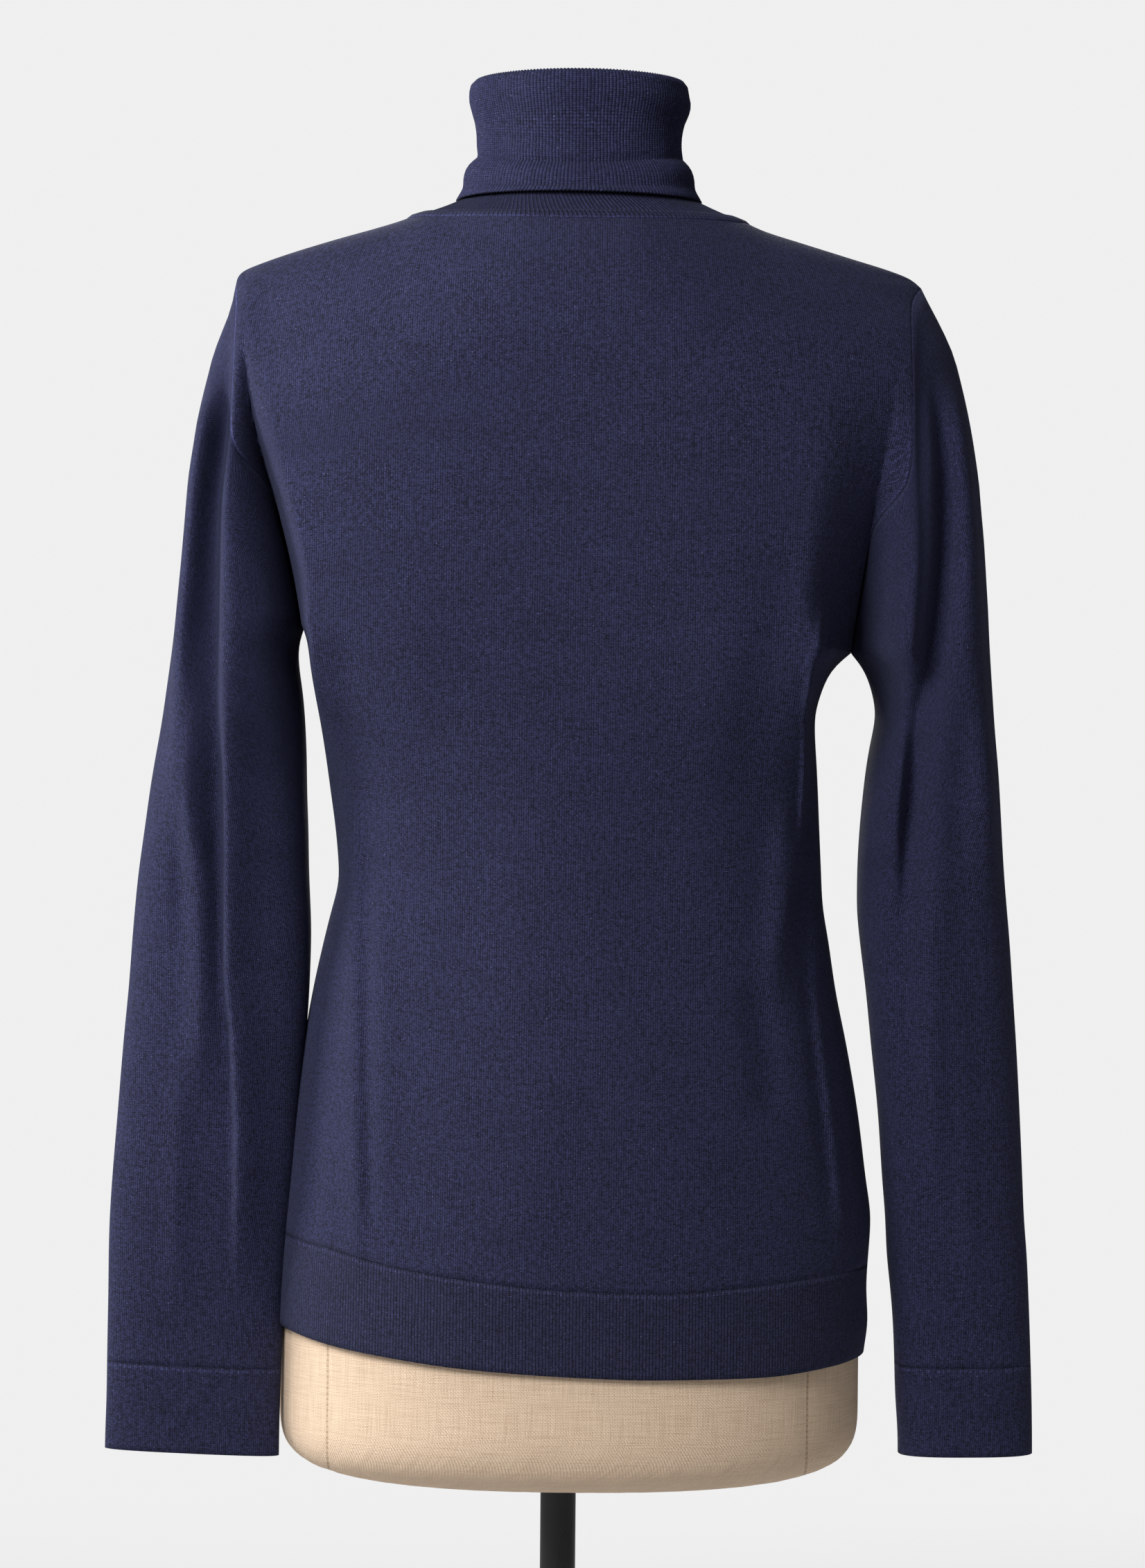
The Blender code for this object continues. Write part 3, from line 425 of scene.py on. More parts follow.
FRONT_FOLDS = table(6, """
 .1290 .800  .1220 .660 .0090  .0060
 .1180 .760  .1120 .640 .0060 -.0034
 .1050 .660  .1120 .500 .0110  .0042
-.1300 .790 -.1230 .680 .0090  .0062
-.1200 .740 -.1120 .620 .0060 -.0032
-.1130 .640 -.1060 .520 .0110  .0040
-.0900 .600 -.0980 .500 .0140 -.0040
 .0850 .830  .0950 .720 .0160 -.0044
 .0600 .700  .0520 .560 .0200  .0032
-.0500 .690 -.0620 .540 .0180  .0030
""")
BODY_FOLDS = {BACK: BACK_FOLDS, FRONT: FRONT_FOLDS}


def fold_swell(folds, x, z):
    """The sum of the soft upright folds at a place."""
    total = np.zeros(np.broadcast(x, z).shape)
    for upper_x, upper_z, lower_x, lower_z, width, height in folds:
        along = (upper_z - z) / (upper_z - lower_z)
        middle = upper_x + (lower_x - upper_x) * np.clip(along, 0.0, 1.0)
        ends = step_up((along + 0.25) / 0.4) * step_up((1.25 - along) / 0.4)
        total = total + height * ends * bump(x, middle, width)
    return total


print("folds of the body:", len(BACK_FOLDS) + len(FRONT_FOLDS))

# %% [markdown]
# ## Crests that run from the body into a sleeve
#
# The strongest folds start on the shoulder and run down the sleeve. They cross the armhole seam, so the
# panel and the sleeve read them from one table. A crest has one steep and one gentle side: it is given a
# half width outwards and a half width inwards. A negative height makes a trough.

# %% Crests
CRESTS = (
    # side, face, half width outwards, half width inwards, height, path of outwards and height
    (1, BACK, 0.0020, 0.0130, 0.0104, """
    .1880 .990  .1872 .950  .1870 .912  .1892 .885  .1907 .860  .1910 .800
    .1897 .712  .1890 .610  .1848 .571  .1818 .507  .1822 .450
"""),
    (1, BACK, 0.0080, 0.0032, -0.0080, """
    .1915 .965  .1918 .912  .1942 .885  .1962 .860  .1966 .800  .1952 .712
    .1940 .640  .1925 .590
"""),
    (1, BACK, 0.0028, 0.0100, 0.0270, """
    .2043 .925  .2090 .885  .2118 .860  .2151 .820  .2174 .790  .2191 .748
"""),
    (1, BACK, 0.0085, 0.0080, 0.0068, """
    .2160 .745  .2125 .700  .2062 .676  .2010 .650  .2016 .600  .2032 .545
"""),
    (1, FRONT, 0.0060, 0.0140, 0.0080, ".1900 .960  .1950 .860  .1940 .720  .1890 .580"),
    (1, FRONT, 0.0110, 0.0060, -0.0085, ".2020 .900  .2040 .800  .2030 .700"),
    (-1, BACK, 0.0030, 0.0180, 0.0046, """
    .1815 .980  .1810 .950  .1812 .912  .1822 .870  .1830 .840  .1822 .814
    .1802 .780  .1772 .724  .1755 .670
"""),
    (-1, BACK, 0.0105, 0.0044, -0.0110, """
    .1950 .930  .1972 .905  .1990 .874  .1990 .850  .1972 .822  .1938 .795
    .1900 .772  .1848 .720  .1822 .682  .1822 .640
"""),
    (-1, BACK, 0.0120, 0.0090, 0.0060, """
    .2110 .850  .2065 .777  .2005 .739  .1960 .682  .1960 .600  .1985 .500
"""),
    (-1, BACK, 0.0060, 0.0130, 0.0160, ".2060 .930  .2140 .870  .2190 .800  .2240 .740  .2300 .660"),
    (-1, FRONT, 0.0060, 0.0120, 0.0070, ".1880 .950  .1850 .860  .1790 .760  .1780 .660"),
    (-1, FRONT, 0.0100, 0.0050, -0.0080, ".1960 .900  .1930 .830  .1880 .740"),
)


def crest_swell(side, x, z, face):
    """The sum of the crests of one side. x is measured outwards from the middle."""
    total = np.zeros(np.broadcast(x, z).shape)
    for sign, on_face, outer_width, inner_width, height, path in CRESTS:
        if sign != side.sign or on_face != face:
            continue
        places = table(2, path)[::-1]
        middle = smooth(z, places[:, 1], places[:, 0])
        shape = bump(x, middle, np.where(x > middle, outer_width, inner_width))
        top = step_up((places[-1, 1] + 0.012 - z) / 0.035)
        low = step_up((z - places[0, 1] + 0.026) / 0.085)
        total = total + height * shape * top * low
    return total


print("crests:", len(CRESTS))

# %% [markdown]
# ## Depth of the body
#
# `joined_depth` is the outline that body and sleeve share over the armpit, with the fold pressed into it.
# `body_depth` carries it down to the hem.

# %% Depth of the body
# How square a level section is, where 2 is an oval and more is squarer. A tube's own depth turns into the
# shared one over the length of its blend below the armpit.
OVER_ARMPIT_POWER = 2.6
BODY_POWER = 2.35
SLEEVE_POWER = 2.7
BODY_BLEND = 0.10
SLEEVE_BLEND = 0.09


def full_depth(z, face):
    return look_up(DEPTH, 1 if face == BACK else 2, z)


def joined_depth(side, x, z, face):
    edge = side.outer_edge(z)
    depth = full_depth(z, face) * round_end(x / edge, OVER_ARMPIT_POWER)
    depth = depth * rise((side.arch_line(x) - z) / ARCH_HEIGHT)
    fold = look_up(side.cap, FOLD, z)
    deep = look_up(side.cap, DEEP, z)
    if face == FRONT:
        deep = deep * (0.8 + 0.2 * deep)
    away = np.abs(np.abs(x) - fold)
    lifted = side.lifted(away, np.where(np.abs(x) < fold, side.bank(z), side.sleeve_bank))
    return depth * (1 - deep * (1 - lifted))


def below_and_over(side, x, z, face, own, reach, lifted, mix):
    """Below the armpit a tube has its own depth, which turns into the shared one as mix goes to 1."""
    squarer = full_depth(z, face) * round_end(x / reach, OVER_ARMPIT_POWER) * lifted
    joined = joined_depth(side, x, np.maximum(z, side.armpit), face)
    return np.where(z > side.armpit, joined, own * (1 - mix) + squarer * mix)


def body_depth(side, x, z, face):
    x = np.abs(x)
    edge = side.body_edge(z)
    own = full_depth(z, face) * round_end(x / edge, BODY_POWER)
    lifted = side.lifted(edge - x, side.bank(z))
    mix = step_up((z - side.armpit + BODY_BLEND) / BODY_BLEND)
    return below_and_over(side, x, z, face, own, side.outer_edge(side.armpit), lifted, mix)


print("depth of the back at the waist:", round(float(full_depth(0.657, BACK)), 4))

# %% [markdown]
# ## From a grid to a sheet of knit
#
# Every piece of knit is a grid of points, bent into place. Blender's own grid gives the faces, and the
# points of the garment are handed to it. The sheet gets a UV map in metres, measured along the cloth, so
# that the stitches of the knit follow the piece and keep their size. A Solidify modifier gives the sheet
# its thickness.

# %% Sheets of knit
KNIT_THICKNESS = 0.0011
MERGE_DISTANCE = 1e-6


def placed(name, data):
    """A new object in the scene."""
    made = bpy.data.objects.new(name, data)
    bpy.context.scene.collection.objects.link(made)
    return made


def stand_for(made, node):
    """The piece rides on the one body and takes the place of a solid."""
    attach(made, "root")
    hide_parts(node)
    print(f"{made.name}: {len(made.data.polygons)} faces")


def closed_up(builder):
    """Fills what is open in the mesh and turns its faces outwards."""
    open_edges = [edge for edge in builder.edges if edge.is_boundary]
    if open_edges:
        bmesh.ops.holes_fill(builder, edges=open_edges)
    bmesh.ops.recalc_face_normals(builder, faces=builder.faces)


def lengths_along(grid, axis):
    """How far each point lies along the cloth, in metres."""
    steps = np.linalg.norm(np.diff(grid, axis=axis), axis=2)
    start = np.zeros_like(np.take(steps, [0], axis=axis))
    return np.concatenate([start, np.cumsum(steps, axis=axis)], axis=axis)


def sheet_from_grid(name, grid, uv, turned, closed=False, seams=None):
    """A mesh object whose rows and columns are the grid's points, with UV maps named cut and seams."""
    rows, columns = grid.shape[:2]
    builder = bmesh.new()
    bmesh.ops.create_grid(builder, x_segments=columns - 1, y_segments=rows - 1, size=0.5)
    mesh = bpy.data.meshes.new(name)
    builder.to_mesh(mesh)
    builder.free()
    flat = np.empty(len(mesh.vertices) * 3)
    mesh.vertices.foreach_get("co", flat)
    spot = np.rint((flat.reshape(-1, 3)[:, :2] + 0.5) * [columns - 1, rows - 1]).astype(int)
    mesh.vertices.foreach_set("co", grid[spot[:, 1], spot[:, 0]].ravel())
    corners = np.empty(len(mesh.loops), dtype=np.int32)
    mesh.loops.foreach_get("vertex_index", corners)
    for layer, places in (("cut", uv), ("seams", seams)):
        if places is not None:
            flat = places[spot[:, 1], spot[:, 0]][corners].ravel()
            mesh.uv_layers.new(name=layer).data.foreach_set("uv", flat)
    if turned:
        mesh.flip_normals()
    if closed:
        builder = bmesh.new()
        builder.from_mesh(mesh)
        bmesh.ops.remove_doubles(builder, verts=builder.verts, dist=MERGE_DISTANCE)
        builder.to_mesh(mesh)
        builder.free()
    mesh.shade_smooth()
    return placed(name, mesh)


def hang_up(made, thickness=KNIT_THICKNESS):
    """The sheet gets its thickness and stands for the solid of its name."""
    wall = made.modifiers.new("wall", "SOLIDIFY")
    wall.thickness = thickness
    wall.offset = -1.0
    stand_for(made, made.name.removeprefix("knit_"))


# %% [markdown]
# ## Back and front
#
# Each body panel is one fully fashioned piece, so its rows climb towards the shoulders at both ends and
# its side edges follow the armhole. The columns stand close together near the armholes, where the fold is
# narrow, and further apart in the middle.

# %% Hem lines
# across, bottom edge, linking line
HEM_BACK = table(3, """
-1.00 .4000 .4490
 -.88 .3975 .4475
 -.62 .3945 .4440
 -.30 .3945 .4405
  .00 .3960 .4420
  .35 .3995 .4470
  .60 .4040 .4530
  .80 .4085 .4600
 1.00 .4156 .4650
""")
HEM_FRONT = table(3, """
-1.00 .4000 .4490
 -.60 .3960 .4440
  .00 .3970 .4450
  .60 .4060 .4555
 1.00 .4156 .4650
""")
SEAM = 0.00008
ROW_STEP = 0.0034
CAP_STEPS = 72
HEMS = {BACK: HEM_BACK, FRONT: HEM_FRONT}
PANEL_COLUMNS = 189
CLIMB_FROM = 0.76


def across_columns():
    """Places across a panel, from the left edge (1) to the right edge (-1)."""
    fine = np.linspace(-1.0, 1.0, 4001)
    crowd = 1.0 + 2.4 * bump(np.abs(fine), 0.84, 0.13) + 4.0 * np.exp(-(1 - np.abs(fine)) / 0.02)
    count = np.concatenate([[0.0], np.cumsum((crowd[1:] + crowd[:-1]) / 2)])
    return np.interp(np.linspace(0.0, count[-1], PANEL_COLUMNS), count, fine)[::-1]


ACROSS = across_columns()
print("columns across a panel:", len(ACROSS))


# %% Body panels
def top_height(across, face):
    """Height of a panel's top edge: the neck seam in the middle, the shoulder beside it."""
    heights = np.zeros(len(across))
    for side in SIDES.values():
        here = across * side.sign >= 0
        x = np.abs(across[here]) * side.notch_x
        corner = side.neck_corner
        middle = NECK_HEIGHT[face]
        end = float(side.shoulder_height(corner))
        neck = middle + (end - middle) * (x / corner) ** NECK_POWER[face]
        heights[here] = np.where(x >= corner, side.shoulder_height(x), neck)
    return heights


def folded_depth(x, z, face, swell=0.0):
    """The depth of the body with its folds, which fade out towards the side seams."""
    depth = np.where(x > 0, body_depth(LEFT_SIDE, x, z, face), body_depth(RIGHT_SIDE, x, z, face))
    swell = fold_swell(BODY_FOLDS[face], x, z) + swell
    return np.maximum(depth + swell * step_up(depth / 0.03), SEAM)


def seam_insides(side):
    return side.cap_width * (1 + np.cos(np.linspace(0.0, np.pi, CAP_STEPS + 1))) / 2


def panel(face):
    """The grid of a body panel, from its linking line up to the shoulder and the neck."""
    link = look_up(HEMS[face], 2, ACROSS) + SEAM
    rows = int((LEFT_SIDE.armpit - link[0]) / ROW_STEP)
    edge_z = {}
    edge_x = {}
    for name, side in SIDES.items():
        low = np.linspace(link[0] if name == "left" else link[-1], side.armpit, rows + 1)
        inside = seam_insides(side)
        high = side.seam_height(inside)
        edge_z[name] = np.concatenate([low, high[1:]])
        edge_x[name] = np.concatenate([side.body_edge(low), (side.outer_edge(high) - inside)[1:]])
    share = (1 + ACROSS) / 2
    z = edge_z["left"][:, None] * share + edge_z["right"][:, None] * (1 - share)
    ends = link[0] * share + link[-1] * (1 - share)
    fade = np.clip(1 - np.arange(len(z)) / rows, 0.0, 1.0)
    z = z + fade[:, None] * (link - ends)[None, :]
    notch = LEFT_SIDE.notch * share + RIGHT_SIDE.notch * (1 - share)
    climb = np.clip((z - CLIMB_FROM) / (notch[None, :] - CLIMB_FROM), 0.0, 1.0) ** 2
    z = z + climb * (top_height(ACROSS, face) - notch)[None, :]
    x = ACROSS[None, :] * np.where(ACROSS > 0, edge_x["left"][:, None], edge_x["right"][:, None])
    swell = crest_swell(LEFT_SIDE, x, z, face) + crest_swell(RIGHT_SIDE, -x, z, face)
    depth = folded_depth(x, z, face, swell)
    depth[: rows + 1, [0, -1]] = SEAM
    corners = np.where(ACROSS > 0, NECK_CORNER_LEFT, NECK_CORNER_RIGHT)
    depth[-1, np.abs(x[-1]) > corners] = SEAM
    return np.stack([x, depth * face, z], axis=-1)


def cut_uv(grid):
    """Metres across from the middle column, and metres up from the lower edge."""
    across = lengths_along(grid, 1)
    across = across - across[:, [across.shape[1] // 2]]
    up = lengths_along(grid, 0)
    up = up[:, [up.shape[1] // 2]] * np.ones_like(up)
    return np.stack([across, up], axis=-1)


def side_seams(grid):
    """For a panel: metres from its nearer side edge, and metres along that edge."""
    across = lengths_along(grid, 1)
    nearer = np.minimum(across, across[:, [-1]] - across)
    up = lengths_along(grid, 0)[:, [0]]
    return np.stack([nearer, up + 0 * nearer], axis=-1)


def top_seam(grid):
    """For a sleeve or a band: metres below its upper edge, and metres along that edge."""
    up = lengths_along(grid, 0)
    along = lengths_along(grid, 1)[[-1]]
    return np.stack([up[[-1]] - up, along + 0 * up], axis=-1)


FACES = {"back": BACK, "front": FRONT}
grids = {}
for key, face in FACES.items():
    grid = grids[key] = panel(face)
    hang_up(sheet_from_grid("knit_" + key, grid, cut_uv(grid), face == FRONT, seams=side_seams(grid)))

# %% [markdown]
# ## Sleeves
#
# A sleeve is a tube that is flat at the cuff, rounds out towards the armpit and opens into the cap, whose
# edge meets the armhole. Its rows lie level at the cuff and climb to the seam. The left sleeve has one
# long ridge from the shoulder to the cuff. The right one has a trough beside the light strip along its
# inner edge. The ridge and the trough come from the crests above. The last column of a fold says its
# face: 1 is the back and -1 the front.

# %% Sleeve tables
# height, half depth, middle, turn
LEFT_SLEEVE = table(4, """
.338 .0120 .0330 -.04
.390 .0150 .0330 -.04
.435 .0190 .0330 -.04
.493 .0230 .0310 -.04
.531 .0250 .0260 -.04
.570 .0290 .0190 -.03
.608 .0330 .0120 -.02
.666 .0410 .0060 -.01
.724 .0520 .0020  .00
.762 .0610 .0000  .00
.798 .0660 .0000  .00
""")
RIGHT_SLEEVE = table(4, """
.338 .0250 .0080 .05
.390 .0280 .0080 .05
.435 .0315 .0080 .05
.493 .0350 .0070 .05
.570 .0395 .0050 .03
.608 .0425 .0040 .00
.666 .0470 .0030 .00
.724 .0570 .0010 .00
.762 .0650 .0000 .00
.786 .0680 .0000 .00
""")
# across from the inside, upper z, across, lower z, half width, height, face
LEFT_SLEEVE_FOLDS = table(7, """
.80 .735 .72 .640 .045 -.0016  1
.66 .560 .60 .440 .070  .0014  1
.37 .384 .64 .356 .030  .0012  1
.45 .900 .55 .600 .090  .0030 -1
.72 .700 .62 .520 .060 -.0020 -1
""")
RIGHT_SLEEVE_FOLDS = table(7, """
.60 .600 .55 .440 .080  .0016  1
.22 .640 .26 .480 .060 -.0014  1
.50 .880 .36 .660 .075 -.0060 -1
.66 .740 .52 .500 .090  .0024 -1
""")
SLEEVES = {"left": LEFT_SLEEVE, "right": RIGHT_SLEEVE}
SLEEVE_FOLDS = {"left": LEFT_SLEEVE_FOLDS, "right": RIGHT_SLEEVE_FOLDS}
SLEEVE_CLIMB_FROM = 0.62
SLEEVE_ROWS = 130
ON_AXIS = 1e-9
CUFF_ROWS = 14
CUFF_LINE = {"left": 0.3920, "right": 0.3935}
CUFF_EDGE = 0.3440
CUFF_SLANT = {"left": 0.0040, "right": 0.0004}
print("folds of the sleeves:", len(LEFT_SLEEVE_FOLDS) + len(RIGHT_SLEEVE_FOLDS))


# %% Sleeves
def sleeve_depth(name, across, x, z, face):
    """Half the depth of a sleeve and the place of its middle."""
    side = SIDES[name]
    own, middle, turn = (look_up(SLEEVES[name], index, z) for index in (1, 2, 3))
    inside, outside = side.sleeve_edges(z)
    own = own * round_end(2 * across - 1, SLEEVE_POWER)
    lifted = side.lifted(x - inside, side.sleeve_bank)
    mix = step_up((z - side.armpit + SLEEVE_BLEND) / SLEEVE_BLEND)
    centre = (middle + turn * ((inside + outside) / 2 - x)) * (1 - mix)
    depth = below_and_over(side, x, z, face, own, outside, lifted, mix)
    return depth, np.where(z > side.armpit, 0.0, centre)


def sleeve(name, low, high, rows, to_cap):
    """The grid of a sleeve or a cuff: rows up the arm, columns once round it from the inside."""
    side = SIDES[name]
    turn = np.linspace(0.0, 2 * np.pi, 2 * CAP_STEPS + 1)
    across = (1 - np.cos(turn)) / 2
    base = np.linspace(low, high, rows + 1)
    climb = np.zeros(rows + 1)
    end = np.full(len(turn), high)
    if to_cap:
        end = side.seam_height(side.cap_width * (1 - across))
        climb = np.clip((base - SLEEVE_CLIMB_FROM) / (high - SLEEVE_CLIMB_FROM), 0.0, 1.0) ** 1.6
    z = base[:, None] + climb[:, None] * (end - high)[None, :]
    z = z + CUFF_SLANT[name] * step_up((0.60 - z) / 0.20) * (across - 0.5)[None, :]
    inside, outside = side.sleeve_edges(z)
    x = outside - (outside - inside) * (1 - across)[None, :]
    grid = np.zeros(z.shape + (3,))
    for way in (BACK, FRONT):
        depth, centre = sleeve_depth(name, across[None, :], x, z, way)
        folds = [row[:-1] for row in SLEEVE_FOLDS[name] if row[-1] == way]
        swell = fold_swell(folds, across[None, :], z) + crest_swell(side, x, z, way)
        depth = np.maximum(depth + swell * step_up(depth / 0.02), 0.0)
        here = (turn <= np.pi + ON_AXIS) == (way == BACK)
        grid[:, here, 1] = (way * depth + centre)[:, here]
    apart = SEAM * climb[:, None] ** 4
    grid[:, :, 0] = (x + apart) * side.sign
    grid[:, :, 2] = z
    return grid


for name in SIDES:
    line = CUFF_LINE[name]
    grids["sleeve_" + name] = sleeve(name, line + SEAM, SIDES[name].armpit, SLEEVE_ROWS, True)
    grids["cuff_" + name] = sleeve(name, CUFF_EDGE, line - SEAM, CUFF_ROWS, False)
    for key in ("sleeve_" + name, "cuff_" + name):
        grid = grids[key]
        hang_up(sheet_from_grid("knit_" + key, grid, cut_uv(grid), name == "left", True, top_seam(grid)))

# %% [markdown]
# ## Hem bands
#
# The hem is a plain double band, linked to each panel along a line that drops a little in the middle. It
# takes its shape from the same depth as the body above it, and is a little thicker because it is double.

# %% Hem bands
BAND_THICKNESS = 0.0014
BAND_ROWS = 14


def hem_band(face):
    low = look_up(HEMS[face], 1, ACROSS)
    high = look_up(HEMS[face], 2, ACROSS) - SEAM
    part = np.linspace(0.0, 1.0, BAND_ROWS + 1)[:, None]
    z = low[None, :] * (1 - part) + high[None, :] * part
    edge = np.where(ACROSS[None, :] > 0, LEFT_SIDE.body_edge(z), RIGHT_SIDE.body_edge(z))
    x = ACROSS[None, :] * edge
    depth = folded_depth(x, z, face)
    depth[:, [0, -1]] = SEAM
    return np.stack([x, depth * face, z], axis=-1)


for name, face in FACES.items():
    grid = grids["hem_" + name] = hem_band(face)
    band = sheet_from_grid("knit_hem_" + name, grid, cut_uv(grid), face == FRONT, seams=top_seam(grid))
    hang_up(band, BAND_THICKNESS)

# %% [markdown]
# ## Collar
#
# The collar is one ribbed tube. It starts at the neck seam, stands up inside, rolls over at the top and
# comes down outside to its free edge. Here the path of one rib is a curve of radius and height, and every
# rib follows it round the neck. The lower end spreads out to meet the neck seam of the two panels.

# %% Collar path
COLLAR_THICKNESS = 0.0009
COLLAR_ROWS = 51
RIB_COUNT = 188
COLUMNS_PER_RIB = 4
RIB_DEPTH = 0.00042
RIB_LEAN = 0.16
COLLAR_MIDDLE_Y = -0.002
COLLAR_DEEPER = 1.03
COLLAR_LIFT = 0.0002
# pairs of outside radius and height, from the foot of the stand to the free edge
COLLAR_PATH = table(2, """
.0588 1.0385   .0545 1.0480   .0530 1.0740   .0534 1.0925   .0547 1.0985   .0566 1.1010   .0586 1.1000
.0597 1.0965   .0598 1.0915   .0586 1.0850   .0567 1.0780   .0557 1.0700   .0556 1.0620   .0560 1.0585
.0592 1.0556   .0617 1.0520   .0629 1.0475   .0631 1.0430   .0641 1.0400   .0657 1.0370   .0672 1.0343
""")
# The crease above the free edge lies lower and shallower at the middle of the back and the front.
CREASE_DROP = 0.0075


def neck_seam():
    """The neck seam as one closed line of points, from the left corner over the back."""
    start, end = (
        [[side.sign * side.neck_corner, 0.0, side.shoulder_height(side.neck_corner)]]
        for side in SIDES.values()
    )
    points = []
    for name in FACES:
        top = grids[name][-1]
        near = (top[:, 0] < NECK_CORNER_LEFT) & (top[:, 0] > -NECK_CORNER_RIGHT)
        line = np.concatenate([start, top[near], end])
        points.extend(line if name == "back" else line[::-1][1:])
    return np.array(points)


def collar_moods(radius, height, part, turn):
    """Small differences round the neck: no hand-rolled collar is the same all the way round."""
    sideways = np.cos(turn) ** 2
    flap = step_up((part - 0.62) / 0.10) * (1 - step_up((part - 0.90) / 0.10))
    height = height - CREASE_DROP * flap * (1 - sideways)
    low_bulge = bump(part, 0.85, 0.06)
    crease = bump(part, 0.765, 0.03)
    radius = radius - 0.0012 * low_bulge * (1 - sideways) + 0.0012 * crease * (1 - sideways)
    left = bump(turn, 0.0, 0.9) + bump(turn, 2 * np.pi, 0.9)
    right = bump(turn, np.pi, 0.9)
    roll = bump(part, 0.52, 0.05)
    lower_roll = bump(part, 0.58, 0.05)
    radius = radius + 0.0007 * roll * left - 0.0010 * roll * right + 0.0012 * lower_roll * right
    outer = step_up((part - 0.50) / 0.08)
    drift = 0.0005 * np.sin(3 * turn + 0.6) + 0.0004 * np.sin(7 * turn + 2.0) * bump(part, 0.80, 0.10)
    radius = radius + outer * drift
    wrinkles = 0.0009 * bump(part, 0.79, 0.035) * np.sin(9 * turn + 6 * part) * sideways
    edge_wave = 0.0006 * step_up((part - 0.88) / 0.12) * np.sin(2 * turn + 0.9)
    return radius + outer * wrinkles, height + edge_wave


def collar():
    """The grid of the collar, with one column for each quarter of a rib."""
    count = RIB_COUNT * COLUMNS_PER_RIB
    turn = np.linspace(0.0, 2 * np.pi, count + 1)
    seam = neck_seam()
    angles = np.unwrap(np.arctan2(seam[:, 1] - COLLAR_MIDDLE_Y, seam[:, 0]))
    angles[0] = 0.0
    angles[-1] = 2 * np.pi
    leaning = np.mod(turn + RIB_LEAN, 2 * np.pi)
    foot = np.stack([np.interp(leaning, angles, seam[:, k]) for k in range(3)], axis=-1)
    foot[:, 2] += COLLAR_LIFT
    along = path_length(COLLAR_PATH)
    fine = np.linspace(0.0, along[-1], COLLAR_ROWS)
    radius, height = (smooth(fine, along, values) for values in COLLAR_PATH.T)
    radius, height = collar_moods(radius[:, None], height[:, None], fine[:, None] / along[-1], turn[None, :])
    x = radius * np.cos(turn)
    y = COLLAR_MIDDLE_Y + COLLAR_DEEPER * radius * np.sin(turn)
    tube = np.stack([x, y, height], axis=-1)
    part = table(1, "0 .02 .06 .11 .16 .20 .23 .26 .32 .42 .56 .70 .85")[:, :, None]
    stand = foot[None, :, :] * (1 - part) + tube[0][None, :, :] * part
    band = 0.0011 * step_up(part / 0.05) * step_up((0.25 - part) / 0.04)
    sink = 0.0010 * np.sin(np.pi * part)
    stand = stand + (band - sink) * np.array([0.0, 0.0, 1.0])
    return np.concatenate([stand, tube]), turn


grids["collar"], collar_turn = collar()
print("collar grid:", grids["collar"].shape)


# %% Collar sheet
def collar_uv(grid):
    """Ribs are counted round the neck, and the length is measured along a rib."""
    up = lengths_along(grid, 0)[:, [0]]
    ribs = collar_turn[None, :] / (2 * np.pi) * RIB_COUNT
    return np.stack([ribs + 0 * up, up + 0 * ribs], axis=-1)


def ribbed(grid):
    """The same grid with its ribs raised along the cloth's own direction outwards."""
    ahead = np.roll(grid[:, :-1], -1, axis=1) - np.roll(grid[:, :-1], 1, axis=1)
    ahead = np.concatenate([ahead, ahead[:, :1]], axis=1)
    upward = np.gradient(grid, axis=0)
    out = np.cross(ahead, upward)
    out = out / np.linalg.norm(out, axis=2, keepdims=True)
    wave = np.cos(collar_turn * RIB_COUNT)
    grown = np.clip(np.arange(len(grid)) / 6.0, 0.15, 1.0)
    return grid + RIB_DEPTH * grown[:, None, None] * wave[None, :, None] * out


grid = grids["collar"]
collar_sheet = sheet_from_grid("knit_collar", ribbed(grid), collar_uv(grid), turned=False, closed=True)
hang_up(collar_sheet, COLLAR_THICKNESS)

# %% [markdown]
# ## Dress form
#
# The form is a firm limbless torso covered in linen canvas. It is a stack of level sections, from its
# rounded underside to its neck. Only its lower end shows under the hem, but the whole form is there, so it
# can be seen through the open neck and from below.

# %% Dress form sections
# height, half width, back, front
FORM = table(4, """
 .3300 .1602 .1145 .1045
 .4200 .1602 .1150 .1050
 .4600 .1590 .1145 .1050
 .5000 .1530 .1110 .1030
 .5400 .1455 .1060 .0990
 .5800 .1380 .0985 .0940
 .6200 .1300 .0915 .0895
 .6570 .1240 .0880 .0880
 .6900 .1225 .0880 .0915
 .7300 .1240 .0920 .1000
 .7700 .1280 .0970 .1120
 .8100 .1340 .1010 .1180
 .8500 .1400 .1035 .1175
 .9000 .1500 .1040 .1095
 .9400 .1640 .1030 .1000
 .9650 .1760 .1020 .0930
 .9850 .1820 .1000 .0870
1.0100 .1830 .0920 .0735
1.0700 .1830 .0870 .0660
""")
FORM_BOTTOM = 0.3265
FORM_ROUNDING = 0.0500
FORM_UNDER_CLOTH = 0.0033
FORM_POWER = 2.3
FORM_UNDERSIDE_POWER = 4.2
NECK_RADIUS = 0.0495
NECK_FROM = 0.985
# The neck swells at its foot, and the form stays a little clear of the cloth at the armholes.
NECK_FLARE = 0.006
SHOULDER_DROP = 0.005
ARMHOLE_DIP = 0.0022
NECK_BLEND = 6


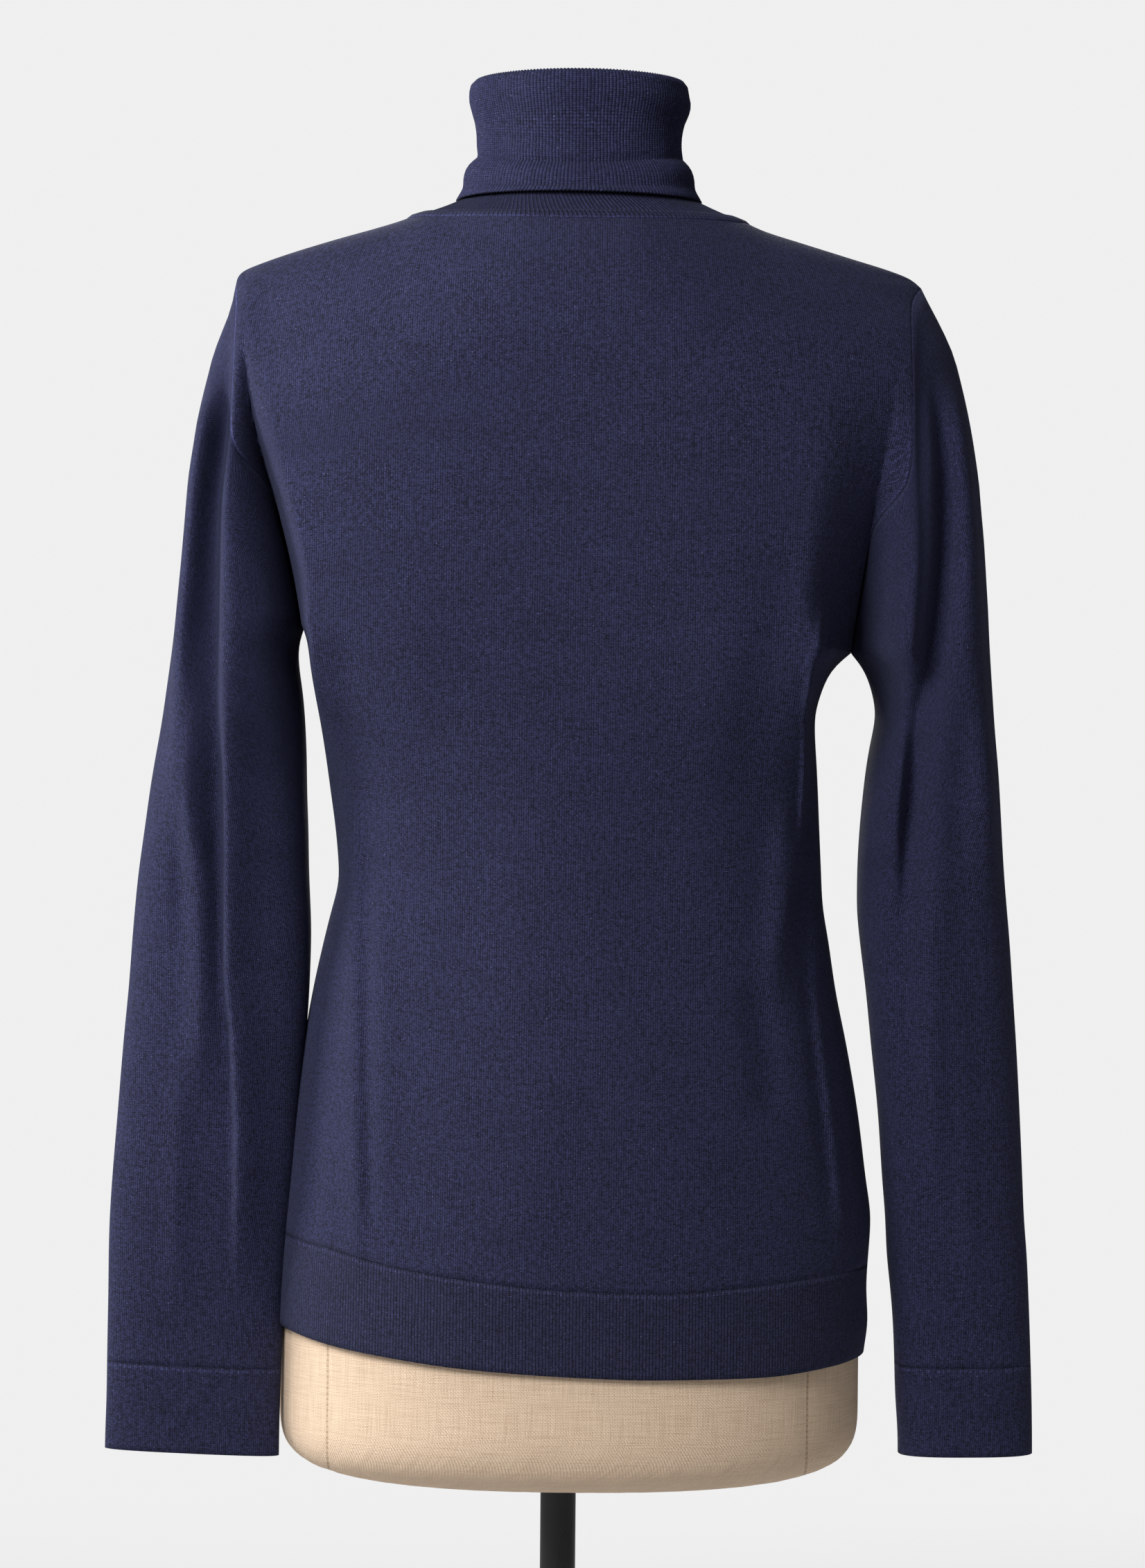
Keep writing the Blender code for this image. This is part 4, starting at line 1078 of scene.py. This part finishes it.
def form_ring(z, sides):
    """One level ring of the form."""
    turn = np.linspace(0.0, 2 * np.pi, sides + 1)
    across = np.cos(turn)
    below = max(FORM_BOTTOM + FORM_ROUNDING - z, 0.0)
    under = float(round_end(below / FORM_ROUNDING, FORM_UNDERSIDE_POWER))
    width = float(look_up(FORM, 1, z))
    ring = np.zeros((sides + 1, 3))
    for side in SIDES.values():
        edge = width
        neck = NECK_RADIUS + NECK_FLARE * float(step_up((1.046 - z) / 0.02))
        if z > NECK_FROM:
            reach = float(np.interp(-z, FORM_UNDER_CLOTH - side.line_z, side.line_x))
            reach -= SHOULDER_DROP * float(step_up((z - 1.012) / 0.006))
            edge = max(min(width, reach), neck)
        here = across * side.sign >= -ON_AXIS
        x = across[here] * edge
        for face in (BACK, FRONT):
            depth = float(look_up(FORM, 2 if face == BACK else 3, z)) * round_end(x / width, FORM_POWER)
            dip = ARMHOLE_DIP * step_up((0.122 - np.abs(x)) / 0.02)
            depth = depth * rise((side.arch_line(x) - FORM_UNDER_CLOTH - dip - z) / ARCH_HEIGHT)
            if z > NECK_FROM:
                around = COLLAR_DEEPER * neck * round_end(x / neck, 2.0) + face * COLLAR_MIDDLE_Y
                depth = (depth**NECK_BLEND + np.maximum(around, 0.0) ** NECK_BLEND) ** (1 / NECK_BLEND)
            depth = np.where(np.abs(np.abs(across[here]) - 1) < ON_AXIS, 0.0, depth)
            rows = np.flatnonzero(here)
            mine = (turn[rows] <= np.pi + ON_AXIS) == (face == BACK)
            ring[rows[mine], 0] = x[mine] * under
            ring[rows[mine], 1] = face * depth[mine] * under
    ring[:, 2] = z
    return ring


print("a ring of the form:", form_ring(0.5, 8).shape)

# %% Dress form
FORM_SIDES = 176
FORM_PANEL_SEAMS = (0.1305, -0.1290)
FORM_SEAM_DEPTH = 0.0007
FORM_SEAM_WIDTH = 0.0016
FORM_GATHER = 0.0006
low_rows = FORM_BOTTOM + FORM_ROUNDING * (1 - np.cos(np.linspace(0.05, np.pi / 2, 22)))
form_rows = [low_rows, np.arange(0.380, NECK_FROM, 0.011), np.arange(NECK_FROM, 1.0701, 0.00395)]
form_grid = np.stack([form_ring(z, FORM_SIDES) for z in np.concatenate(form_rows)])


def pull_in_seams(grid):
    """The linen is drawn in a little along its princess seams and gathered at the lower edge."""
    x = grid[:, :, 0]
    z = grid[:, :, 2]
    inward = np.zeros_like(x)
    for seam in FORM_PANEL_SEAMS:
        inward += FORM_SEAM_DEPTH * bump(x, seam, FORM_SEAM_WIDTH)
    gather = step_up((0.352 - z) / 0.02) * step_up((z - 0.3270) / 0.004)
    turn = np.linspace(0.0, 2 * np.pi, grid.shape[1])
    pleats = np.sin(turn * 61) * 0.5 + np.sin(turn * 37 + 1.3) * 0.5
    inward += FORM_GATHER * gather * pleats
    share = 1 - inward / np.maximum(np.hypot(x, grid[:, :, 1]), 0.02)
    return np.stack([x * share, grid[:, :, 1] * share, z], axis=-1)


form_grid = pull_in_seams(form_grid)
form = sheet_from_grid("linen_form", form_grid, cut_uv(form_grid), turned=False, closed=True)
builder = bmesh.new()
builder.from_mesh(form.data)
closed_up(builder)
builder.to_mesh(form.data)
builder.free()
form.data.shade_smooth()
stand_for(form, "dress_form")

# %% [markdown]
# ## Pole and base
#
# The pole is a plain steel tube and the base a flat steel plate, both in satin black. A short profile is
# spun round the axis, which gives a finer round than the solid has, and soft edges.

# %% Pole and base
POLE_X = 0.0055
POLE_RADIUS = 0.0098
POLE_PROFILE = ((POLE_RADIUS, 0.0081), (POLE_RADIUS, 0.3495))
SPIN_STEPS = 96
SHARP_DEGREES = 40
# pairs of radius and height
BASE_PROFILE = table(2, """
.0 .0   .1488 .0   .1497 .0004   .1500 .0012   .1500 .0066   .1496 .0075   .1486 .0080
.0 .0080
""")


def spun(name, profile, node):
    """A profile of radius and height, turned round the pole's axis."""
    builder = bmesh.new()
    points = [builder.verts.new((POLE_X + radius, 0.0, height)) for radius, height in profile]
    edges = [builder.edges.new(pair) for pair in zip(points, points[1:])]
    whole = {"cent": (POLE_X, 0.0, 0.0), "axis": (0.0, 0.0, 1.0), "angle": 2 * math.pi}
    bmesh.ops.spin(builder, geom=points + edges, steps=SPIN_STEPS, use_merge=True, **whole)
    bmesh.ops.remove_doubles(builder, verts=builder.verts, dist=MERGE_DISTANCE)
    closed_up(builder)
    mesh = bpy.data.meshes.new(name)
    builder.to_mesh(mesh)
    builder.free()
    mesh.shade_smooth()
    made = placed(name, mesh)
    made.modifiers.new("edges", "EDGE_SPLIT").split_angle = math.radians(SHARP_DEGREES)
    stand_for(made, node)
    return made


pole = spun("steel_pole", POLE_PROFILE, "pole")
base = spun("steel_base", BASE_PROFILE, "base")

# %% [markdown]
# ## Small helpers for materials
#
# Every finish here is made of nodes. A wire is the output of a node, and wires can be added and multiplied
# like numbers, which makes Math nodes. An effect is a node group, built once and used again.

# %% Helpers for nodes
VALUE = "NodeSocketFloat"
VECTOR = "NodeSocketVector"
COLOUR = "NodeSocketColor"


class Wire:
    """The output of a node."""

    def __init__(self, socket):
        self.socket = socket
        self.tree = socket.id_data

    def __add__(self, other):
        return calc("ADD", self, other)

    def __sub__(self, other):
        return calc("SUBTRACT", self, other)

    def __rsub__(self, other):
        return calc("SUBTRACT", other, self)

    def __mul__(self, other):
        return calc("MULTIPLY", self, other)


def put(socket, value):
    """Links a wire to the socket, or sets a plain value on it."""
    if isinstance(value, Wire):
        value.tree.links.new(value.socket, socket)
    else:
        socket.default_value = value


def new_node(kind, inputs, **settings):
    """A node in the tree of its first wire, with its inputs linked or set."""
    tree = next(value.tree for value in inputs.values() if isinstance(value, Wire))
    node = tree.nodes.new("ShaderNode" + kind)
    for label, value in settings.items():
        setattr(node, label, value)
    for label, value in inputs.items():
        put(node.inputs[label], value)
    return node


def calc(operation, *values):
    return Wire(new_node("Math", dict(enumerate(values)), operation=operation).outputs[0])


def between(value, low, high, to_low=0.0, to_high=1.0):
    """A soft step from to_low to to_high while the value goes from low to high."""
    ends = {"From Min": low, "From Max": high, "To Min": to_low, "To Max": to_high}
    node = new_node("MapRange", {"Value": value, **ends}, interpolation_type="SMOOTHSTEP")
    return Wire(node.outputs["Result"])


def stretched(vector, scale):
    return Wire(new_node("Mapping", {"Vector": vector, "Scale": scale}).outputs["Vector"])


def noise(vector, scale, detail=2.0, roughness=0.5):
    grain = {"Scale": 1.0, "Detail": detail, "Roughness": roughness}
    return Wire(new_node("TexNoise", {"Vector": stretched(vector, scale), **grain}).outputs["Fac"])


def mixed(share, first, second, blend="MIX"):
    """Two colours mixed. The colours are the inputs 6 and 7 of the node."""
    inputs = {0: share, 6: first, 7: second}
    return Wire(new_node("Mix", inputs, data_type="RGBA", blend_type=blend).outputs[2])


def bumped(height, strength, distance):
    inputs = {"Height": height, "Strength": strength, "Distance": distance}
    return Wire(new_node("Bump", inputs).outputs["Normal"])


def parts(vector):
    """The three numbers of a vector."""
    return [Wire(socket) for socket in new_node("SeparateXYZ", {0: vector}).outputs]


def read_uv(tree, layer="cut"):
    node = tree.nodes.new("ShaderNodeUVMap")
    node.uv_map = layer
    return Wire(node.outputs["UV"])


def read_place(tree):
    return Wire(tree.nodes.new("ShaderNodeTexCoord").outputs["Object"])


def effect(name, inputs, outputs):
    """An empty node group, with the wires that it is given and its output sockets."""
    tree = bpy.data.node_groups.new(name, "ShaderNodeTree")
    for way, sockets in (("INPUT", inputs), ("OUTPUT", outputs)):
        for label, kind in sockets.items():
            tree.interface.new_socket(name=label, in_out=way, socket_type=kind)
    given = {socket.name: Wire(socket) for socket in tree.nodes.new("NodeGroupInput").outputs}
    return tree, given, tree.nodes.new("NodeGroupOutput").inputs


def use(group, **values):
    """The wires that come out of an effect."""
    node = new_node("Group", values, node_tree=group)
    return {socket.name: Wire(socket) for socket in node.outputs}


def new_material(name, **values):
    """A material, its node tree and the inputs of its shader."""
    material = bpy.data.materials.new(name)
    material.use_nodes = True
    shader = material.node_tree.nodes["Principled BSDF"].inputs
    for label, value in values.items():
        shader[label.replace("_", " ")].default_value = value
    return material, material.node_tree, shader


print("node helpers ready")

# %% [markdown]
# ## Knit stitches
#
# Plain knit is rows of small V shapes. A column of them is a wale and a row is a course. The group below
# draws them on the UV map: the distance from the middle of a wale bends the courses into a V, a thin groove
# parts the wales, and the height goes to a bump. Lit is painted shade: it darkens the colour where the
# stitch relief is low, most of all in the groove, by the share that the group is given.

# %% Knit stitches
stitches, given, result = effect(
    "knit_stitches",
    {"Vector": VECTOR, "Wales": VALUE, "Courses": VALUE, "Slant": VALUE, "Groove": VALUE},
    {"Height": VALUE, "Lit": VALUE},
)
u, v, _ = parts(given["Vector"])
wale = calc("FRACT", u * given["Wales"])
aside = calc("ABSOLUTE", wale - 0.5) * 2.0
course = aside * given["Slant"] + v * given["Courses"]
strand = calc("SINE", calc("FRACT", course) * math.pi)
body = between(aside, 1.0, 0.40) * between(aside, 0.0, 0.25, 0.72, 1.0)
height = body * (strand * 0.55 + 0.45)
put(result["Height"], height)
# Painted shade: the colour darkens where the stitch relief is low, most in the grooves between wales.
put(result["Lit"], 1.0 - (1.0 - height) * given["Groove"])
print("group:", stitches.name)

# %% [markdown]
# ## Melange yarn
#
# The yarn is spun from fibres of several blues, so the cloth is not one flat colour. Short specks lie
# along the courses, where the yarn runs, and wider clouds change the tone a little over a few centimetres.
# A few pale fibres stand out.

# %% Melange yarn
melange, given, result = effect(
    "melange_yarn",
    {"Vector": VECTOR, "Dark": COLOUR, "Light": COLOUR, "Pale": COLOUR},
    {"Color": COLOUR, "Fibre": VALUE},
)
lay = given["Vector"]
specks = noise(lay, (760.0, 1150.0, 1.0), roughness=0.7)
flecks = noise(lay, (330.0, 430.0, 1.0), roughness=0.6)
streaks = noise(lay, (760.0, 110.0, 1.0))
clouds = noise(lay, (30.0, 55.0, 1.0))
tone = specks * 0.54 + flecks * 0.28 + streaks * 0.12 + clouds * 0.06
base_tone = mixed(between(tone, 0.38, 0.62), given["Dark"], given["Light"])
strays = noise(lay, (900.0, 1300.0, 1.0), detail=1.0, roughness=0.4)
put(result["Color"], mixed(between(strays, 0.68, 0.80), base_tone, given["Pale"]))
put(result["Fibre"], specks)
print("group:", melange.name)

# %% [markdown]
# ## Seams and shaping marks
#
# Fully fashioned pieces are joined stitch by stitch, which leaves a fine groove with a row of small loops
# beside it. Where the knitter narrows a piece towards the armhole, each step leaves a slanting mark a few
# wales inside the edge, so a ladder of marks follows the seam. A second UV map gives the distance from the
# seam and the place along it. The colour carries painted light and shade: painted shade in the groove, a
# painted highlight on the loops and on each mark, and painted shade over the strip of marks. Near the
# shoulder the seam is the top of a ridge, and a painted highlight lies along it as one pale line, strongest
# on the left, the side the light comes from.

# %% Seams and shaping marks
LOOPS_PER_METRE = 340.0
MARKS_PER_METRE = 330.0
MARK_SLANT = 150.0

seaming, given, result = effect(
    "linked_seam", {"Vector": VECTOR, "Across": VALUE, "Level": VALUE}, {"Height": VALUE, "Lit": VALUE}
)
inwards, along, _ = parts(given["Vector"])
level = given["Level"]
groove_and_shade = between(inwards, 0.0012, 0.0003)
loop = calc("SINE", along * (2 * math.pi * LOOPS_PER_METRE)) * 0.50 + 0.50
row_of_loops = between(inwards, 0.0008, 0.0014) * between(inwards, 0.0030, 0.0022) * loop
ladder = calc("FRACT", inwards * MARK_SLANT + along * MARKS_PER_METRE)
rung = between(ladder, 0.10, 0.30) * between(ladder, 0.75, 0.55)
strip = between(inwards, 0.0050, 0.0062) * between(inwards, 0.0125, 0.0105)
strip = strip * between(level, 0.852, 0.862) * between(level, 0.904, 0.890)
mark = strip * rung
put(result["Height"], mark * 0.8 + row_of_loops * 0.8 - groove_and_shade)
upper = between(level, 0.885, 0.910)
plain = 1.0 - upper
# Painted highlight along the seam's ridge near the shoulder, stronger on the left side.
painted_ridge_highlight = upper * between(inwards, 0.0019, 0.0005) * between(given["Across"], 0.05, 0.10, 0.30, 2.40)
# Painted shade in the seam's groove and a painted highlight on its row of loops, below the shoulder.
painted_seam_light_and_shade = groove_and_shade * plain * -0.22 + 1.0 + row_of_loops * plain * 0.75 + painted_ridge_highlight
# Painted shade over the strip of shaping marks and a painted highlight on each mark.
put(result["Lit"], painted_seam_light_and_shade + strip * -0.28 + mark * 0.62)
print("group:", seaming.name)

# %% [markdown]
# ## Knit materials
#
# One recipe serves every piece of knit: stitches, yarn, seam and a light fuzz. The body and sleeves have
# the finest gauge, the bands are double and lie tighter, and the collar counts its ribs in place of wales.
# The collar has no armhole seam. Instead, a thread shows at its foot, with a painted shadow line just above
# it.

# %% Knit materials
RIB_PITCH = 0.0019
SHEEN_BLUE = (0.42, 0.48, 0.85, 1.0)
NAVY_PALE = (0.1500, 0.1700, 0.3300, 1.0)


def foot_of_collar(tree, uv, lit):
    up = parts(uv)[1]
    thread = between(up, 0.0017, 0.0009)
    # A painted shadow line just above the thread, where the ribs' lower edge casts its shade.
    painted_shadow_line = between(up, 0.0044, 0.0050) * between(up, 0.0062, 0.0056)
    return (thread * 0.45 + lit) * (painted_shadow_line * -0.45 + 1.0)


def knit_material(name, wales, courses, slant, groove_and_shade, dark, light, depth=0.0005):
    """Navy merino in a given gauge. The sheen is the light that short loose fibres catch."""
    sheen = {"Sheen_Weight": 0.07, "Sheen_Roughness": 0.45, "Sheen_Tint": SHEEN_BLUE}
    material, tree, shader = new_material(name, Roughness=0.90, Specular_IOR_Level=0.25, **sheen)
    is_rib = name == "navy_rib"
    uv = read_uv(tree)
    loops = use(stitches, Vector=uv, Wales=wales, Courses=courses, Slant=slant, Groove=groove_and_shade)
    lay = stretched(uv, (RIB_PITCH, 1.0, 1.0)) if is_rib else uv
    yarn = use(melange, Vector=lay, Dark=(*dark, 1.0), Light=(*light, 1.0), Pale=NAVY_PALE)
    relief = yarn["Fibre"] * 0.35 + loops["Height"]
    if is_rib:
        lit = foot_of_collar(tree, uv, loops["Lit"])
    else:
        across, _, level = parts(read_place(tree))
        seam = use(seaming, Vector=read_uv(tree, "seams"), Across=across, Level=level)
        lit = loops["Lit"] * seam["Lit"]
        relief = seam["Height"] * 0.9 + relief
    # The yarn colour is multiplied by the painted shade and highlights of the stitches and the seams.
    put(shader["Base Color"], mixed(1.0, yarn["Color"], lit, "MULTIPLY"))
    put(shader["Normal"], bumped(relief, 0.6, depth))
    print(name, "ready")
    return material


# Each is given wales and courses a metre, slant, the share of painted groove shade, its dark and its light
# blue.
NAVY = ((0.0088, 0.0094, 0.0255), (0.0452, 0.0490, 0.1385))
BAND = ((0.0120, 0.0128, 0.0340), (0.0430, 0.0460, 0.1220))
RIB = ((0.0160, 0.0172, 0.0470), (0.0435, 0.0465, 0.1300))
KNIT_FINISH = {
    "body": knit_material("navy_jersey", 780.0, 1000.0, 0.45, 0.62, *NAVY),
    "hem": knit_material("navy_band", 560.0, 950.0, 0.30, 0.80, *BAND, depth=0.0006),
    "cuff": knit_material("navy_cuff", 860.0, 950.0, 0.40, 0.66, *NAVY),
    "collar": knit_material("navy_rib", 1.0, 900.0, 0.30, 0.93, *RIB),
}
for key in grids:
    finish = KNIT_FINISH.get(key.split("_")[0], KNIT_FINISH["body"])
    bpy.data.objects["knit_" + key].data.materials.append(finish)

# %% [markdown]
# ## Linen canvas
#
# The cover is unbleached linen in a plain weave. Warp and weft threads of uneven thickness pass over and
# under each other, with a thicker slub here and there, and painted shade darkens the small gaps between
# them, where the threads dip. The princess seams are darker and crossed by stitches.

# %% Linen canvas
canvas, given, result = effect(
    "linen_canvas",
    {"Vector": VECTOR, "Threads": VALUE, "Light": COLOUR, "Dark": COLOUR},
    {"Color": COLOUR, "Height": VALUE},
)
lay = given["Vector"]
wobble = noise(lay, (90.0, 90.0, 1.0))
warp_place, weft_place = (place * given["Threads"] + wobble for place in parts(lay)[:2])
warp, weft = (calc("ABSOLUTE", calc("SINE", place * math.pi)) for place in (warp_place, weft_place))
over = calc("FLOORED_MODULO", calc("FLOOR", warp_place) + calc("FLOOR", weft_place), 2.0)
height = over * (warp - weft) + weft
warp_tone = noise(lay, (1300.0, 40.0, 1.0))
weft_tone = noise(lay, (40.0, 1300.0, 1.0))
# The thread height lightens the top of each thread: painted shade in the gaps between threads.
tone = height * 0.35 + (over * (warp_tone - weft_tone) + weft_tone) * 0.9
put(result["Color"], mixed(between(tone, 0.30, 0.85), given["Dark"], given["Light"]))
put(result["Height"], height)

LINEN_THREADS = 1150.0
LINEN_LIGHT = (0.870, 0.670, 0.490, 1.0)
LINEN_DARK = (0.500, 0.342, 0.225, 1.0)
SEAM_BROWN = (0.30, 0.19, 0.11, 1.0)
LINEN_STITCH = 0.0030
LINEN_SURFACE = {"Roughness": 0.92, "Specular_IOR_Level": 0.2, "Sheen_Weight": 0.08}
linen, tree, shader = new_material("beige_linen_canvas", **LINEN_SURFACE)
threads = use(canvas, Vector=read_uv(tree), Threads=LINEN_THREADS, Light=LINEN_LIGHT, Dark=LINEN_DARK)
across, _, level = parts(read_place(tree))
stitch = calc("FRACT", level * (1 / LINEN_STITCH))
stitch = between(stitch, 0.10, 0.25) * between(stitch, 0.90, 0.75)
left_joint, right_joint = (
    between(calc("ABSOLUTE", across - seam_x), 0.0009, 0.0003) * (stitch * -0.45 + 1.0)
    for seam_x in FORM_PANEL_SEAMS
)
joint = calc("MAXIMUM", left_joint, right_joint)
put(shader["Base Color"], mixed(joint * 0.65, threads["Color"], SEAM_BROWN))
put(shader["Normal"], bumped(joint * -2.0 + threads["Height"], 0.5, 0.0004))
form.data.materials.append(linen)
print(linen.name, "ready")

# %% [markdown]
# ## Satin black steel
#
# Powder-coated steel is black with a soft wide highlight, a very fine grain and a few rubbed places where
# it is handled.

# %% Satin black steel
STEEL_BLACK = (0.009, 0.0095, 0.012, 1)
STEEL_RUBBED = (0.020, 0.021, 0.025, 1)
steel, tree, shader = new_material("satin_black_steel", Coat_Weight=0.15, Coat_Roughness=0.35)
grain = noise(read_place(tree), (1800.0, 1800.0, 1800.0))
rubbed = noise(read_place(tree), (26.0, 26.0, 9.0), detail=4.0)
put(shader["Base Color"], mixed(between(rubbed, 0.45, 0.75), STEEL_BLACK, STEEL_RUBBED))
put(shader["Roughness"], between(rubbed, 0.30, 0.80, 0.26, 0.40))
put(shader["Normal"], bumped(grain, 0.12, 0.0002))
for piece in (pole, base):
    piece.data.materials.append(steel)
print(steel.name, "ready")

# %% [markdown]
# ## Floor, backdrop and light
#
# The object stands on a pale floor that fades into a pale backdrop. The backdrop that the camera sees is
# brighter than the room that lights the object, as in a studio with its own background lights. Three
# square lights stand round it: the key on the camera's side and one beside the object, both on the left
# of the picture, and one behind it that lights the garment's front.

# %% Floor
FLOOR_RADIUS = 2.6
FLOOR_DROP = 0.0004
FLOOR_GREY = (0.58, 0.58, 0.58, 1.0)
FLOOR_FADE = (0.7, 2.3)


def blend_shaders(tree, output, share, first, second):
    """Mixes two shaders into the output of the tree."""
    node = tree.nodes.new("ShaderNodeMixShader")
    for socket, value in zip(node.inputs, (share, Wire(first.outputs[0]), Wire(second.outputs[0]))):
        put(socket, value)
    put(tree.nodes.new(output).inputs["Surface"], Wire(node.outputs[0]))


builder = bmesh.new()
bmesh.ops.create_circle(builder, cap_ends=True, radius=FLOOR_RADIUS, segments=128)
bmesh.ops.translate(builder, verts=builder.verts, vec=(0.0, 0.0, -FLOOR_DROP))
floor_mesh = bpy.data.meshes.new("studio_floor")
builder.to_mesh(floor_mesh)
builder.free()
floor = placed("studio_floor", floor_mesh)
floor_paint = bpy.data.materials.new("pale_floor")
floor_paint.use_nodes = True
tree = floor_paint.node_tree
tree.nodes.clear()
distance = new_node("VectorMath", {0: read_place(tree)}, operation="LENGTH")
matt = tree.nodes.new("ShaderNodeBsdfDiffuse")
matt.inputs["Color"].default_value = FLOOR_GREY
clear = tree.nodes.new("ShaderNodeBsdfTransparent")
share = between(Wire(distance.outputs["Value"]), *FLOOR_FADE)
blend_shaders(tree, "ShaderNodeOutputMaterial", share, matt, clear)
floor_mesh.materials.append(floor_paint)
print("floor radius", FLOOR_RADIUS)

# %% Backdrop and room
BACKDROP = 0.865
ROOM = 0.15

world = bpy.data.worlds.new("white_room")
world.use_nodes = True
bpy.context.scene.world = world
tree = world.node_tree
tree.nodes.clear()
glow, seen = (tree.nodes.new("ShaderNodeBackground") for _ in range(2))
for node, grey in ((glow, ROOM), (seen, BACKDROP)):
    node.inputs["Color"].default_value = (grey, grey, grey, 1.0)
from_camera = Wire(tree.nodes.new("ShaderNodeLightPath").outputs["Is Camera Ray"])
blend_shaders(tree, "ShaderNodeOutputWorld", from_camera, glow, seen)
print("backdrop", BACKDROP, "room", ROOM)

# %% Studio lights
LIGHT_TARGET = Vector((0.0, 0.0, 0.75))
LIGHTS = (
    # name, place, size, power
    ("key_light", (0.78, 1.32, 1.52), 0.8, 26.5),
    ("side_light", (1.95, 0.05, 1.25), 0.7, 35.0),
    ("front_light", (0.15, -2.60, 1.75), 1.4, 60.0),
)
for name, place, size, power in LIGHTS:
    data = bpy.data.lights.new(name, "AREA")
    data.size = size
    data.energy = power
    light = placed(name, data)
    light.location = place
    aim = (light.location - LIGHT_TARGET).normalized()
    light.rotation_euler = aim.to_track_quat("Z", "Y").to_euler()
bpy.context.scene.view_settings.view_transform = "Standard"
bpy.context.scene.view_settings.look = "None"
print("lights:", [row[0] for row in LIGHTS])

# %% [markdown]
# ## What carries each sheet
#
# Each piece of cloth is listed with the piece that carries it. The loop below looks up each sheet and does
# nothing more.

# %% Carrier of each piece
CARRIERS = {
    "back": "linen_form",
    "front": "linen_form",
    "sleeve_left": "knit_back",
    "sleeve_right": "knit_back",
    "cuff_left": "knit_sleeve_left",
    "cuff_right": "knit_sleeve_right",
    "hem_back": "knit_back",
    "hem_front": "knit_front",
    "collar": "knit_back",
}


for key, carrier in CARRIERS.items():
    bpy.data.objects["knit_" + key]
    "folded" if key == "collar" else "hung"
